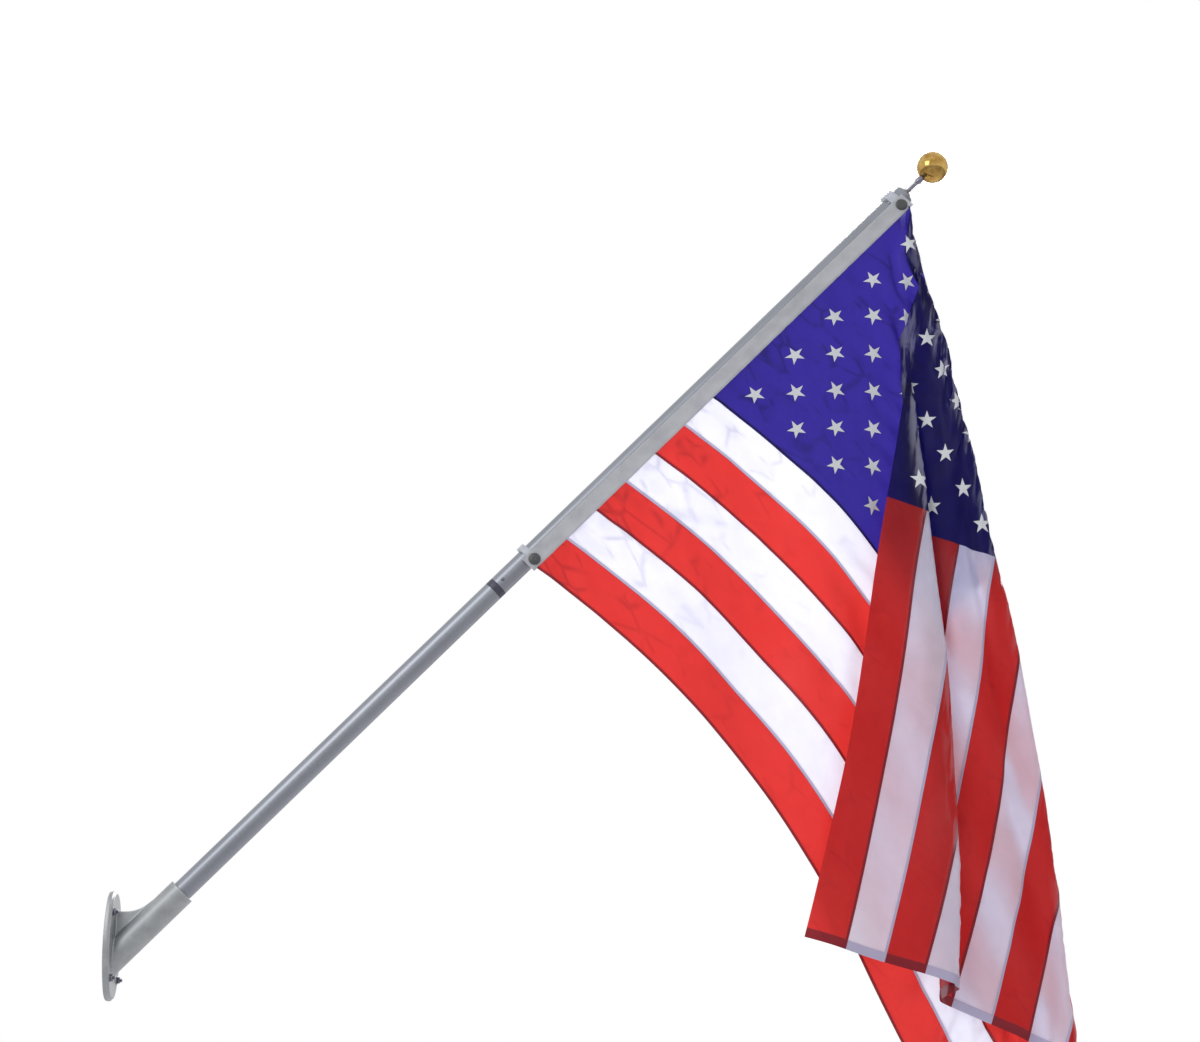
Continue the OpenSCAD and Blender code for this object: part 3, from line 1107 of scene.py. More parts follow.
@dataclass
class Drape:
    """How the flag hangs: its threads fall from the header, then turn back round three creases.

    Angles are in degrees and lengths in metres. A point of the flag is given by u, its distance
    along the fly from the header, and d, its distance below the flag's upper edge.
    """

    layout: Layout
    start_slope: float = 36.0
    hang_slope: float = 58.0
    fall_length: float = 980 * MM
    sag: float = 115 * MM
    sag_length: float = 110 * MM
    sag_growth: float = 2.5
    sag_whole: float = 7 / 13
    slack: float = 45 * MM
    slack_depth: float = 400 * MM
    outer_lean: float = 11.5
    inner_lean: float = 5.0
    pleat_start: float = 330 * MM
    pleat_offset: float = 16 * MM
    pleat_depth: float = 52 * MM
    pleat_run: float = 140 * MM
    fold_r: float = 4 * MM
    pleat_r: float = 3 * MM
    fold_growth: float = 0.008
    tilt: float = 0.06
    ripple: float = 14 * MM
    ripple_pitch: float = 330 * MM
    ripple_fade: float = 500 * MM
    billow: float = 9 * MM
    billow_pitch: float = 430 * MM
    billow_lean: float = 28.0
    sway: float = 80 * MM
    sway_start: float = 900 * MM
    sway_drop: float = 1000 * MM

    def __post_init__(self) -> None:
        """Works out the upper hoist corner and the pleat's start, in the XZ plane."""
        lay = self.layout
        self.up = np.array([lay.along.x, lay.along.z])
        self.out = np.array([lay.across.x, lay.across.z])
        top = lay.at(lay.header_mid + lay.hoist / 2, lay.header_w)
        self.corner = np.array([top.x, top.z])
        self.pleat_at = self.corner - np.array([self.pleat_offset, self.pleat_start])

    def course(self, u: Array, d: Array) -> Array:
        """Where the threads run before the cloth turns back.

        Args:
            u: Distances along the fly.
            d: Distances below the upper edge.

        Returns:
            Points, one row each.
        """
        fly = self.layout.fly - self.layout.header_w
        reach = u - self.slack * np.minimum(1, d / self.slack_depth) * (u / fly) ** 2
        turned = np.minimum(reach, self.fall_length)
        fall = self.hang_slope - self.start_slope
        chord = np.radians(self.start_slope + fall * turned / self.fall_length / 2)
        rest = math.radians(self.hang_slope)
        low = (d / self.layout.hoist - self.sag_whole) / (1 - self.sag_whole)
        sag_end = self.sag_length + self.sag_growth * d
        drawn = self.sag * (1 - self.ease(low)) * self.ease(reach / sag_end)
        x = turned * np.cos(chord) + (reach - turned) * math.cos(rest) - drawn * math.sin(rest)
        z = -turned * np.sin(chord) - (reach - turned) * math.sin(rest) - drawn * math.cos(rest)
        base = self.corner - self.up * d[..., None]
        return np.stack([base[..., 0] + x, np.full(u.shape, self.layout.cloth_y), base[..., 1] + z], -1)

    @staticmethod
    def ease(share: Array) -> Array:
        """Soft step from 0 to 1."""
        t = np.clip(share, 0, 1)
        return t * t * (3 - 2 * t)

    @staticmethod
    def axes(lean: float) -> tuple[Array, Array]:
        """Directions down along a crease and away from the wall, as x and z."""
        a = math.radians(lean)
        return np.array([math.sin(a), -math.cos(a)]), np.array([math.cos(a), math.sin(a)])

    def turn_back(
        self, p: Array, at: Array, lean: float, side: int, start_r: float, depth: float = 0.0
    ) -> tuple[Array, Array]:
        """Turns the cloth back round one crease.

        Args:
            p: Points.
            at: The crease's start, as x and z.
            lean: Its lean from straight down, in degrees.
            side: 1 where the cloth beyond it comes back from the side away from the wall.
            start_r: Radius of the turn at the crease's start.
            depth: How far the crease moves towards the wall from that line in the end.

        Returns:
            The turned points, and how far the cloth had run beyond the crease at each of them.
        """
        down, away = self.axes(lean)
        along = (p[..., [0, 2]] - at) @ down
        inset = depth * (1 - np.exp(-np.maximum(0, along) / self.pleat_run))
        beyond = side * ((p[..., [0, 2]] - at) @ away + inset)
        r = start_r + self.fold_growth * np.maximum(0, along)
        quarter = math.pi * r / 2
        bend = (beyond + quarter) / r
        before, after = beyond < -quarter, beyond > quarter
        flat = np.where(before, beyond, np.where(after, -beyond, r * np.sin(bend) - quarter))
        deep = np.where(before, 0, np.where(after, -2 * r, -r * (1 - np.cos(bend))))
        place = at + down * along[..., None] + away * (side * flat - inset)[..., None]
        return np.stack([place[..., 0], p[..., 1] + deep, place[..., 1]], -1), beyond

    def turns(self, u: Array, d: Array) -> tuple[Array, Array, Array]:
        """Turns the cloth back round its three creases.

        Args:
            u: Distances along the fly.
            d: Distances below the upper edge.

        Returns:
            The points, still without ripples, how many creases lie between each of them and the
            header, and how far each one is from the nearest crease.
        """
        p = self.course(u, d)
        q, past_outer = self.turn_back(p, self.corner, self.outer_lean, 1, self.fold_r)
        r, past_first = self.turn_back(q, self.pleat_at, self.inner_lean, -1, self.pleat_r,
                                       self.pleat_depth)
        s, past_inner = self.turn_back(r, self.pleat_at, self.inner_lean, 1, self.pleat_r)
        outer = past_outer > 0
        pleat = outer & (past_first >= 0)
        layer = outer.astype(int) + pleat + (pleat & (past_inner > 0))
        near = np.minimum(np.abs(past_outer), np.where(outer, np.abs(past_first), np.inf))
        near = np.minimum(near, np.where(pleat, np.abs(past_inner), np.inf))
        return np.where(pleat[..., None], s, np.where(outer[..., None], r, q)), layer, near

    def hung(self, u: Array, d: Array) -> Array:
        """The cloth as its threads fall, with their ripples.

        Args:
            u: Distances along the fly.
            d: Distances below the upper edge.

        Returns:
            The points.
        """
        q = self.turns(u, d)[0]
        below = np.maximum(0, (q[..., [0, 2]] - self.corner) @ self.out)
        wave = self.ripple * np.sin(2 * math.pi * q[..., 0] / self.ripple_pitch)
        run = q[..., [0, 2]] @ self.axes(self.billow_lean)[0]
        wave += self.billow * np.sin(2 * math.pi * run / self.billow_pitch)
        q[..., 1] += self.tilt * below + np.minimum(1, below / self.ripple_fade) * wave
        drop = np.maximum(0, self.corner[1] - q[..., 2] - self.sway_start)
        q[..., 0] -= self.sway * (drop / self.sway_drop) ** 2
        return q


@dataclass
class Field:
    """Values on an even grid over the flat flag, read along smooth curves between its points."""

    values: Array
    fly: float
    hoist: float

    @staticmethod
    def taps(place: Array, count: int) -> tuple[Array, Array]:
        """The four grid points round each place, and their weights on a smooth curve.

        Args:
            place: Places from 0 to 1.
            count: Number of grid points.

        Returns:
            Numbers of the grid points, and weights.
        """
        at = np.clip(place, 0, 1) * (count - 1)
        low = np.minimum(at.astype(int), count - 2)
        t = at - low
        weights = np.stack([-t / 2 + t**2 - t**3 / 2, 1 - 2.5 * t**2 + 1.5 * t**3,
                            t / 2 + 2 * t**2 - 1.5 * t**3, (t**3 - t**2) / 2], -1)
        return np.clip(low[..., None] + np.arange(-1, 3), 0, count - 1), weights

    def at(self, u: Array, d: Array) -> Array:
        """Reads the values.

        Args:
            u: Distances along the fly.
            d: Distances below the upper edge.

        Returns:
            The values there.
        """
        rows, row_weights = self.taps(u / self.fly, self.values.shape[0])
        columns, column_weights = self.taps(d / self.hoist, self.values.shape[1])
        around = self.values[rows[..., :, None], columns[..., None, :]]
        return np.einsum("...i,...j,...ijk->...k", row_weights, column_weights, around)


@dataclass(frozen=True)
class Pass:
    """One pass of the settling, on a grid of one cell size.

    stir is the height of the small waves it starts from, hold the share of the broad drift that
    it takes back, spread how far it looks round a point for that drift, and ease its smoothing.
    """

    cell: float
    rounds: int
    stir: float
    hold: float
    spread: int
    ease: float


@dataclass
class Settling:
    """Lets the hung cloth settle until it has the lengths of its flat cut again.

    The falling threads draw together below the upper hoist corner, where real cloth keeps its
    width and gathers into soft folds. The settling moves a grid of points until the grid's edges
    are as long as on the flat cut, while the broad shape stays and the layers keep apart.
    """

    drape: Drape
    fly: float
    hoist: float
    passes: tuple[Pass, ...] = (Pass(28 * MM, 260, 4 * MM, 0.10, 10, 0.02),
                                Pass(14 * MM, 220, 0.8 * MM, 0.10, 16, 0.04),
                                Pass(9 * MM, 120, 0.0, 0.08, 20, 0.14))
    layer_gap: float = 4 * MM
    gap_share: float = 0.6
    layers: int = 4
    tile: float = 14 * MM
    stir_fade: float = 250 * MM
    crease_zone: float = 30 * MM
    crease_clear: float = 0.3
    edge_zone: float = 100 * MM
    edge_ease: float = 0.3
    edge_push: float = 0.35
    diagonal_push: float = 0.5
    diagonal_share: float = 0.12
    layer_push: float = 0.35
    stir_cells: tuple[int, int] = (14, 4)
    seed: int = 5

    @staticmethod
    def blurred(values: Array, times: int) -> Array:
        """Averages values with their neighbours.

        Args:
            values: The values on a grid.
            times: How many times.

        Returns:
            The averages.
        """
        for _ in range(times):
            for axis in (0, 1):
                pad = [(1, 1) if k == axis else (0, 0) for k in range(values.ndim)]
                wide = np.pad(values, pad, mode="edge")
                n = values.shape[axis]
                low, mid, high = (np.take(wide, np.arange(n) + k, axis) for k in range(3))
                values = 0.25 * low + 0.5 * mid + 0.25 * high
        return values

    @staticmethod
    def pull(a: Array, b: Array, length: float, push: float) -> Array:
        """Half of what brings each pair of points to a length.

        Args:
            a: First points.
            b: Second points.
            length: The length wanted between them.
            push: Share of the correction made where they are too close.

        Returns:
            The step for the first points; the second ones take its opposite.
        """
        edge = b - a
        now = np.maximum(np.linalg.norm(edge, axis=-1, keepdims=True), 1e-9)
        return edge * (np.where(now > length, 0.5, push) * (now - length) / now)

    def keep_lengths(self, at: Array, cell: Sequence[float]) -> None:
        """Brings the grid's edges, and more gently its diagonals, to their flat lengths.

        Args:
            at: The points, which are moved.
            cell: Flat lengths of a cell along the fly and along the hoist.
        """
        for axis in (0, 1):
            view = at if axis == 0 else at.swapaxes(0, 1)
            for start in (0, 1):
                a, b = view[start:-1:2], view[start + 1::2]
                step = self.pull(a, b, cell[axis], self.edge_push)
                a += step
                b -= step
        for a, b in ((at[:-1, :-1], at[1:, 1:]), (at[1:, :-1], at[:-1, 1:])):
            step = self.pull(a, b, math.hypot(*cell), self.diagonal_push) * self.diagonal_share
            a += step
            b -= step

    def tiles(self, at: Array) -> tuple[Array, int]:
        """Finds the upright square tile that each point lies on, seen along Y.

        Args:
            at: The points.

        Returns:
            Each point's tile, and how many tiles there are.
        """
        low = self.drape.corner - np.array([self.fly, self.fly + self.hoist])
        count = math.ceil((2 * self.fly + self.hoist) / self.tile)
        place = np.clip(((at[..., [0, 2]] - low) / self.tile).astype(int), 0, count - 1)
        return place[..., 0] * count + place[..., 1], count * count

    def depths(self, at: Array, layer: Array) -> tuple[Array, list[Array]]:
        """Measures how deep the layers of the cloth lie.

        Args:
            at: The points.
            layer: The layer of each point.

        Returns:
            Each point's tile, and each layer's mean depth on each tile.
        """
        tile, count = self.tiles(at)
        means = []
        for k in range(self.layers):
            own = layer == k
            number = np.bincount(tile[own], minlength=count)
            total = np.bincount(tile[own], at[..., 1][own], minlength=count)
            means.append(np.where(number > 0, total / np.maximum(number, 1), np.nan))
        return tile, means

    def keep_apart(self, at: Array, layer: Array, gaps: Sequence[Array]) -> None:
        """Pushes neighbouring layers apart where they come too close.

        Args:
            at: The points, which are moved.
            layer: The layer of each point.
            gaps: Smallest gap between each layer and the next, on each tile.
        """
        tile, means = self.depths(at, layer)
        y = at[..., 1]
        push = np.zeros(y.shape)
        for k, gap in enumerate(gaps):
            front = np.nan_to_num(y + (gap - means[k])[tile])
            back = np.nan_to_num((means[k + 1] + gap)[tile] - y)
            push -= np.where(layer == k + 1, np.maximum(front, 0), 0)
            push += np.where(layer == k, np.maximum(back, 0), 0)
        y += self.layer_push * push

    def settle(self, step: Pass, before: Optional[Field], rng: np.random.Generator) -> Field:
        """Makes one pass.

        Args:
            step: The pass.
            before: How far the pass before moved the cloth.
            rng: Source of the small waves.

        Returns:
            How far the cloth has moved.
        """
        counts = [round(self.fly / step.cell) + 1, round(self.hoist / step.cell) + 1]
        u, d = np.meshgrid(np.linspace(0, self.fly, counts[0]), np.linspace(0, self.hoist, counts[1]),
                           indexing="ij")
        cell = (self.fly / (counts[0] - 1), self.hoist / (counts[1] - 1))
        start = self.drape.hung(u, d)
        _, layer, near = self.drape.turns(u, d)
        shift = before.at(u, d) if before is not None else np.zeros(start.shape)
        heights = [count // every + 3 for count, every in zip(counts, self.stir_cells)]
        waves = Field(rng.normal(0, step.stir, (*heights, 1)), self.fly, self.hoist)
        shift[..., 1] += waves.at(u, d)[..., 0] * np.clip(u / self.stir_fade, 0, 1)
        means = self.depths(start, layer)[1]
        gaps = [np.minimum(self.layer_gap, self.gap_share * (means[k] - means[k + 1]))
                for k in range(self.layers - 1)]
        free = self.edge_ease * np.clip(1 - (self.hoist - d) / self.edge_zone, 0, 1)
        clear = np.clip(near / self.crease_zone - self.crease_clear, 0, 1)
        ease = ((step.ease + free) * clear)[..., None]
        at = start + shift
        for turn in range(step.rounds):
            self.keep_lengths(at, cell)
            shift = at - start
            shift += ease * (self.blurred(shift, 1) - shift)
            if turn % 2 == 0:
                drift = Field(self.blurred(shift[::2, ::2], step.spread), self.fly, self.hoist)
                shift -= step.hold * drift.at(u, d)
            at = start + shift
            if turn % 3 == 0:
                self.keep_apart(at, layer, gaps)
            at[:2] = start[:2]
        return Field(at - start, self.fly, self.hoist)

    def run(self) -> Field:
        """Makes all passes.

        Returns:
            How far the cloth has moved.
        """
        rng = np.random.default_rng(self.seed)
        moved: Optional[Field] = None
        for step in self.passes:
            moved = self.settle(step, moved, rng)
        return moved


@dataclass
class Surface:
    """The settled cloth: points and normals at any place of the flat flag."""

    drape: Drape
    shift: Field
    crinkle: float = 2.4 * MM
    crinkle_reach: float = 200 * MM
    crinkle_cells: tuple[int, int] = (42, 46)
    faint: float = 0.5 * MM
    tight: float = 25 * MM
    reading: float = 0.5 * MM
    seed: int = 11

    def __post_init__(self) -> None:
        """Draws the crinkles."""
        heights = np.random.default_rng(self.seed).normal(0, 1, (*self.crinkle_cells, 1))
        self.crinkles = Field(heights, self.shift.fly, self.shift.hoist)

    def points(self, u: Array, d: Array) -> Array:
        """The cloth, crinkled most beside the header that pulls on it.

        Args:
            u: Distances along the fly.
            d: Distances below the upper edge.

        Returns:
            The points.
        """
        at = self.drape.hung(u, d) + self.shift.at(u, d)
        loose = np.clip(u / self.tight, 0, 1)
        near = loose * np.exp(-np.maximum(u, 0) / self.crinkle_reach)
        height = (self.faint + self.crinkle * near) * self.crinkles.at(u, d)[..., 0]
        at[..., 1] += height * loose
        return at

    def normals(self, u: Array, d: Array) -> Array:
        """Unit normals of the cloth, towards its face.

        Args:
            u: Distances along the fly.
            d: Distances below the upper edge.

        Returns:
            The normals.
        """
        step = self.reading
        n = np.cross(self.points(u + step, d) - self.points(u - step, d),
                     self.points(u, d + step) - self.points(u, d - step))
        return n / np.linalg.norm(n, axis=-1, keepdims=True)


@dataclass
class Flag:
    """The flag: canton and stripes sewn from separate strips, hems, stars and header."""

    layout: Layout
    stripes: int = 13
    canton_stripes: int = 7
    canton_share: float = 0.42
    cloth_t: float = 0.6 * MM
    seam_t: float = 1.5 * MM
    seam_w: float = 6 * MM
    hem_w: float = 20 * MM
    stitch: float = 0.8 * MM
    tuck: float = 6 * MM
    fold_zone: float = 45 * MM
    cell: float = 6 * MM
    cell_share: float = 1.3
    header_stations: int = 310
    header_rows: int = 12
    header_edge: float = 0.7 * MM
    pucker: float = 0.7 * MM
    pucker_across: float = 48.0
    pucker_along: float = 13.0
    star_r: float = 23 * MM
    star_h: float = 0.7 * MM
    star_root: float = 0.45
    star_rows: int = 9
    star_columns: int = 11
    star_cells: int = 3

    def __post_init__(self) -> None:
        """Works out the strips' sizes and the hanging."""
        self.stripe_w = self.layout.hoist / self.stripes
        self.cloth_fly = self.layout.fly - self.layout.header_w
        self.canton_fly = self.layout.fly * self.canton_share
        self.canton_hoist = self.stripe_w * self.canton_stripes
        drape = Drape(self.layout)
        self.surface = Surface(drape, Settling(drape, self.cloth_fly, self.layout.hoist).run())

    def along(self, start: float, end: float) -> Array:
        """Stations along the fly, close together at the hem where the strip ends in one.

        Args:
            start: The strip's start.
            end: The strip's end.

        Returns:
            The stations.
        """
        if end < self.cloth_fly:
            return np.linspace(start, end, math.ceil((end - start) / self.cell) + 1)
        hem = self.cloth_fly - self.hem_w
        plain = np.linspace(start, hem - self.stitch, math.ceil((hem - start) / self.cell) + 1)
        return np.concatenate([plain, np.linspace(hem, end, 5)])

    def below(self, start: float, end: float) -> Array:
        """Stations below the upper edge, close together at the felled seam.

        Args:
            start: The strip's upper edge.
            end: The strip's lower edge.

        Returns:
            The stations.
        """
        seam = end - self.seam_w
        count = math.ceil((seam - start) / (self.cell * self.cell_share)) + 1
        plain = np.linspace(start, seam - self.stitch, count)
        return np.concatenate([plain, np.linspace(seam, end, 4)])

    @staticmethod
    def shell(rows: int, columns: int) -> Array:
        """Faces of a closed sheet, whose points are a grid for its face and then one for its back.

        Args:
            rows: Rows of each grid.
            columns: Columns of each grid.

        Returns:
            The faces, as rows of point numbers.
        """
        face = np.arange(rows * columns).reshape(rows, columns)
        back = face + rows * columns
        front = np.stack([face[:-1, :-1], face[1:, :-1], face[1:, 1:], face[:-1, 1:]], -1)
        rear = np.stack([back[:-1, :-1], back[:-1, 1:], back[1:, 1:], back[1:, :-1]], -1)
        rim = np.concatenate([face[:-1, 0], face[-1, :-1], face[:0:-1, -1], face[0, :0:-1]])
        after = np.roll(rim, -1)
        wall = np.stack([rim, rim + rows * columns, after + rows * columns, after], -1)
        return np.concatenate([front.reshape(-1, 4), rear.reshape(-1, 4), wall])

    def strip(self, name: str, u: Array, d: Array) -> Piece:
        """One sewn strip as a thin closed sheet, thicker at its felled seam and its hem.

        Args:
            name: The piece's name.
            u: Stations along the fly.
            d: Stations below the flag's upper edge.

        Returns:
            The piece.
        """
        uu, dd = np.meshgrid(u, d, indexing="ij")
        middle, normal = self.surface.points(uu, dd), self.surface.normals(uu, dd)
        felled = dd > d[-1] - self.seam_w - self.stitch / 2
        hemmed = uu > self.cloth_fly - self.hem_w - self.stitch / 2
        half = np.where(felled | hemmed, self.seam_t, self.cloth_t)[..., None] / 2
        sides = (middle + normal * half, middle - normal * half)
        points = np.concatenate([side.reshape(-1, 3) for side in sides])
        flat = np.stack([uu, dd - d[0]], -1).reshape(-1, 2)
        piece = self.mesh(name, points, self.shell(*uu.shape), np.concatenate([flat, flat]))
        # fold runs from 1 at a crease to 0 beyond the fold zone; the nylon takes its crease bumps, its
        # coat gloss and its painted highlight from it.
        near = self.surface.drape.turns(uu, dd)[2].ravel()
        fold = np.clip(1 - near / self.fold_zone, 0, 1).astype(np.float32)
        values = piece.data.attributes.new("fold", "FLOAT", "POINT").data
        values.foreach_set("value", np.concatenate([fold, fold]))
        return piece

    @staticmethod
    def mesh(name: str, points: Array, faces: Array, flat: Array) -> Piece:
        """A mesh piece with a UV map of its flat places.

        Args:
            name: The piece's name.
            points: Its points.
            faces: Its faces, as rows of point numbers.
            flat: The flat place of each point.

        Returns:
            The piece, with its faces turned outwards and shaded smooth.
        """
        data = bpy.data.meshes.new(name)
        data.from_pydata(points.tolist(), [], faces.tolist())
        layer = data.uv_layers.new(name="flat")
        corner_points = np.zeros(len(data.loops), np.int32)
        data.loops.foreach_get("vertex_index", corner_points)
        layer.data.foreach_set("uv", flat[corner_points].astype(np.float32).ravel())
        piece = bpy.data.objects.new(name, data)
        bpy.context.scene.collection.objects.link(piece)
        with Bench.edited(piece):
            bpy.ops.mesh.normals_make_consistent(inside=False)
        Bench.smooth(piece, 60)
        return piece

    def star_plan(self) -> tuple[Array, Array]:
        """A five-pointed star as points and triangles, with its first point up.

        Returns:
            The points in the flag's plane, u to the right and d down, and the triangles.
        """
        inner = self.star_r * math.sin(math.radians(18)) / math.sin(math.radians(54))
        tips = [(r * math.sin(k * math.pi / 5), -r * math.cos(k * math.pi / 5))
                for k, r in enumerate([self.star_r, inner] * 5)]
        plan = bmesh.new()
        centre = plan.verts.new((0, 0, 0))
        ring = [plan.verts.new((x, y, 0)) for x, y in tips]
        for k, vert in enumerate(ring):
            plan.faces.new((centre, vert, ring[(k + 1) % len(ring)]))
        bmesh.ops.subdivide_edges(plan, edges=plan.edges[:], cuts=self.star_cells - 1, use_grid_fill=True)
        bmesh.ops.triangulate(plan, faces=plan.faces[:])
        plan.verts.index_update()
        points = np.array([v.co[:2] for v in plan.verts])
        faces = np.array([[v.index for v in f.verts] for f in plan.faces])
        plan.free()
        return points, faces

    def stars(self) -> Piece:
        """All fifty stars, embroidered on both sides of the canton, as one piece.

        Returns:
            The piece.
        """
        plan, faces = self.star_plan()
        edges = np.concatenate([faces[:, [0, 1]], faces[:, [1, 2]], faces[:, [2, 0]]])
        key = np.sort(edges, 1)
        _, first, count = np.unique(key, axis=0, return_index=True, return_counts=True)
        rim = edges[first[count == 1]]
        spots = [(row, column) for row in range(1, self.star_rows + 1)
                 for column in range(1, self.star_columns + 1) if (row + column) % 2 == 0]
        row_pitch = self.canton_hoist / (self.star_rows + 1)
        column_pitch = self.canton_fly / (self.star_columns + 1)
        points: list[Array] = []
        polygons: list[Array] = []
        flats: list[Array] = []
        total = 0
        for row, column in spots:
            u, d = plan[:, 0] + column * column_pitch, plan[:, 1] + row * row_pitch
            middle, normal = self.surface.points(u, d), self.surface.normals(u, d)
            for side in (-1, 1):
                low, high = side * self.cloth_t * self.star_root, side * (self.cloth_t / 2 + self.star_h)
                points += [middle + normal * high, middle + normal * low]
                n = len(plan)
                shell = np.concatenate([faces, faces[:, ::-1] + n,
                                        np.stack([rim[:, 0], rim[:, 0] + n, rim[:, 1] + n], -1),
                                        np.stack([rim[:, 0], rim[:, 1] + n, rim[:, 1]], -1)])
                polygons.append(shell + total)
                flats += [plan, plan]
                total += 2 * n
        return self.mesh("canton_stars", *(np.concatenate(parts) for parts in (points, polygons, flats)))

    def header(self) -> Piece:
        """The header: heavy tape folded over the hoist, with soft edges and slight puckers.

        Returns:
            The piece.
        """
        lay = self.layout
        half = lay.header_length / 2
        s = np.linspace(-half, half, self.header_stations)
        edge, far = self.header_edge, lay.header_w
        inner = np.linspace(edge * 2, far - edge * 2, self.header_rows)
        ss, ww = np.meshgrid(s, np.concatenate([[0, edge], inner, [far - edge, far]]), indexing="ij")
        near_end = np.minimum(ss + half, half - ss)
        round_off = np.minimum(np.minimum(ww, far - ww), near_end)
        thick = lay.header_t / 2 * np.clip(np.sqrt(np.clip(round_off / (2 * edge), 0.04, 1)), 0.2, 1)
        lift = np.array([noise.noise(Vector((a * self.pucker_across, b * self.pucker_along, 3.0)))
                         for a, b in zip((ss - ww).ravel(), (ss + ww).ravel())])
        base = np.array(lay.at(lay.header_mid))
        plane = base + ss[..., None] * np.array(lay.along) + ww[..., None] * np.array(lay.across)
        plane[..., 1] = lay.cloth_y + lift.reshape(ss.shape) * self.pucker
        outward = np.array([0, 1, 0]) * thick[..., None]
        points = np.concatenate([side.reshape(-1, 3) for side in (plane - outward, plane + outward)])
        flat = np.stack([ss, ww], -1).reshape(-1, 2)
        return self.mesh("header_band", points, self.shell(*ss.shape), np.concatenate([flat, flat]))

    def build(self, cloths: dict[Slot, Material], star: Material,
              canvas: Material) -> None:
        """Args:
            cloths: Finish of each colour of cloth.
            star: Finish of the stars.
            canvas: Finish of the header.
        """
        band = self.header()
        hand_over(band, canvas, Body.SPINNER, Slot.CANVAS, "header_tape")
        canton = self.strip("canton_cloth", self.along(-self.tuck, self.canton_fly),
                            self.below(0, self.canton_hoist))
        hand_over(canton, cloths[Slot.BLUE], Body.SPINNER, Slot.BLUE, "canton")
        stars = hand_over(self.stars(), star, Body.SPINNER, Slot.WHITE)
        self.canton_fly + self.tuck
        for n in range(1, self.stripes + 1):
            start = self.canton_fly if n <= self.canton_stripes else -self.tuck
            strip = self.strip(f"stripe_cloth_{n:02d}", self.along(start, self.cloth_fly),
                               self.below((n - 1) * self.stripe_w, n * self.stripe_w))
            slot = Slot.RED if n % 2 else Slot.WHITE
            hand_over(strip, cloths[slot], Body.SPINNER, slot, f"stripe_{n:02d}")
            self.cloth_fly - start


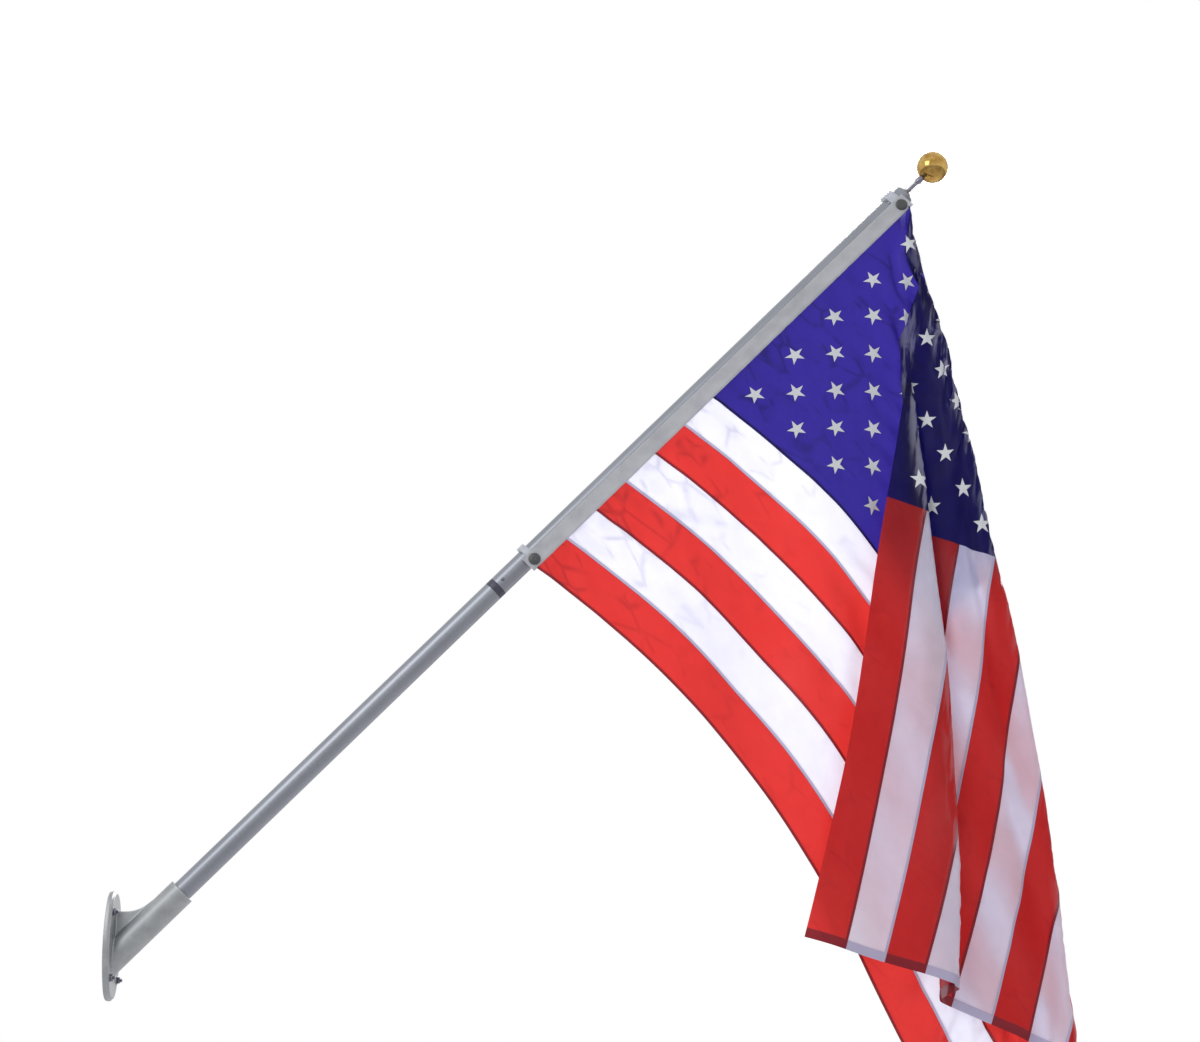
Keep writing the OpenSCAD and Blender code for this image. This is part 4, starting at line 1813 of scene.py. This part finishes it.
@dataclass
class Studio:
    """The camera of the photograph's viewing angle, a pale floor and plain soft light."""

    azimuth: float = 0.75
    elevation: float = -15.33
    distance: float = 5.414
    target: Vector = field(default_factory=lambda: Vector((1.060, 0.0, 0.947)))
    lens: float = 72.0
    sensor: float = 36.0
    floor_z: float = -0.95
    floor_size: float = 40.0
    ambient: float = 0.58
    lamp_size: float = 2.4
    back_power: float = 222.0
    front_power: float = 60.0

    def camera(self) -> None:
        """Makes the scene's camera."""
        a, e = math.radians(self.azimuth), math.radians(self.elevation)
        back = Vector((math.sin(a) * math.cos(e), -math.cos(a) * math.cos(e), math.sin(e)))
        data = bpy.data.cameras.new("photo_camera")
        data.lens, data.sensor_width = self.lens, self.sensor
        data.clip_start, data.clip_end = 0.05, 100.0
        camera = bpy.data.objects.new("photo_camera", data)
        camera.location = self.target + back * self.distance
        camera.rotation_euler = (-back).to_track_quat("-Z", "Y").to_euler()
        bpy.context.scene.collection.objects.link(camera)
        bpy.context.scene.camera = camera

    def floor(self) -> None:
        """Makes the pale floor."""
        Bench.clear()
        bpy.ops.mesh.primitive_plane_add(size=self.floor_size, location=(1.0, 0, self.floor_z))
        floor = bpy.context.object
        floor.name = "pale_floor"
        g = Graph("pale_floor")
        soft = g.noise(g.place(), 1.5, 2.0)
        colour = g.blend(soft, (0.74, 0.74, 0.75), (0.78, 0.78, 0.79))
        dress(floor, g.finish(g.principled(Base_Color=colour, Roughness=0.9)))

    def lamp(self, name: str, place: Sequence[float], aim: Sequence[float], power: float) -> None:
        """Adds a soft square lamp.

        Args:
            name: The lamp's name.
            place: Where it hangs.
            aim: The point that it faces.
            power: Its power in watts.
        """
        data = bpy.data.lights.new(name, "AREA")
        data.size, data.energy = self.lamp_size, power
        lamp = bpy.data.objects.new(name, data)
        lamp.location = place
        lamp.rotation_euler = (Vector(aim) - Vector(place)).to_track_quat("-Z", "Y").to_euler()
        bpy.context.scene.collection.objects.link(lamp)

    def world(self) -> None:
        """A white backdrop all round that lights the object more softly than it shows."""
        g = Graph("white_studio", world=True)
        path = g.node("ShaderNodeLightPath")
        camera, clear, mirrored = (Shade(g, path.outputs[f"Is {kind} Ray"])
                                   for kind in ("Camera", "Transmission", "Glossy"))
        shown = (camera + clear).math("ADD", mirrored, clamp=True)
        strength = shown * (1 - self.ambient) + self.ambient
        back = g.node("ShaderNodeBackground", None, {"Color": (1, 1, 1, 1), "Strength": strength})
        bpy.context.scene.world = g.finish(back)

    def build(self) -> None:
        """Sets up the studio."""
        bpy.context.scene.view_settings.view_transform = "Standard"
        self.camera()
        self.floor()
        self.world()
        self.lamp("back_light", (2.6, 3.6, 3.2), (1.4, 0, 0.7), self.back_power)
        self.lamp("front_light", (-1.6, -3.4, 3.0), (1.1, 0, 0.7), self.front_power)


def main() -> None:
    """Builds the flagpole's pieces in order, then the studio."""
    logging.basicConfig(level=logging.INFO)
    layout = Layout()
    flag = Flag(layout)
    tube = TubeFinish().make()
    steel = PlainMetal("zinc_steel", srgb(126, 125, 138), 0.38).make()
    bright = PlainMetal("bright_steel", srgb(138, 136, 150), 0.26).make()
    Bracket(layout).build(CastFinish().make(), steel)
    Pole(layout).build(tube, PlasticFinish("black_nylon", srgb(58, 58, 74), 0.45).make(), steel)
    Fittings(layout).build(PlasticFinish("milky_ring", srgb(200, 204, 214), 0.3, 0.15).make(),
                           PlasticFinish("grey_snap", srgb(66, 69, 72), 0.35).make())
    Finial(layout).build(tube, GoldFinish().make(), bright)
    hem_at = flag.cloth_fly - flag.hem_w
    # The third colour of each nylon is its darker colour, painted as shade on the seams, the hem and the
    # crease lines.
    cloths = {
        Slot.RED: NylonFinish("red_nylon", srgb(190, 40, 43), srgb(244, 128, 124), srgb(128, 20, 40),
                              flag.stripe_w, flag.seam_w, hem_at).make(),
        Slot.WHITE: NylonFinish("white_nylon", srgb(229, 228, 242), srgb(246, 246, 252),
                                srgb(190, 186, 216), flag.stripe_w, flag.seam_w, hem_at).make(),
        Slot.BLUE: NylonFinish("blue_nylon", srgb(30, 25, 76), srgb(129, 115, 208), srgb(26, 21, 66),
                               flag.canton_hoist, flag.seam_w, hem_at, gloss=0.2,
                               painted_crease_glint=0.75).make(),
    }
    flag.build(cloths, ThreadFinish("star_thread", srgb(226, 229, 234)).make(), CanvasFinish().make())
    Studio().build()


if __name__ == "__main__":
    main()
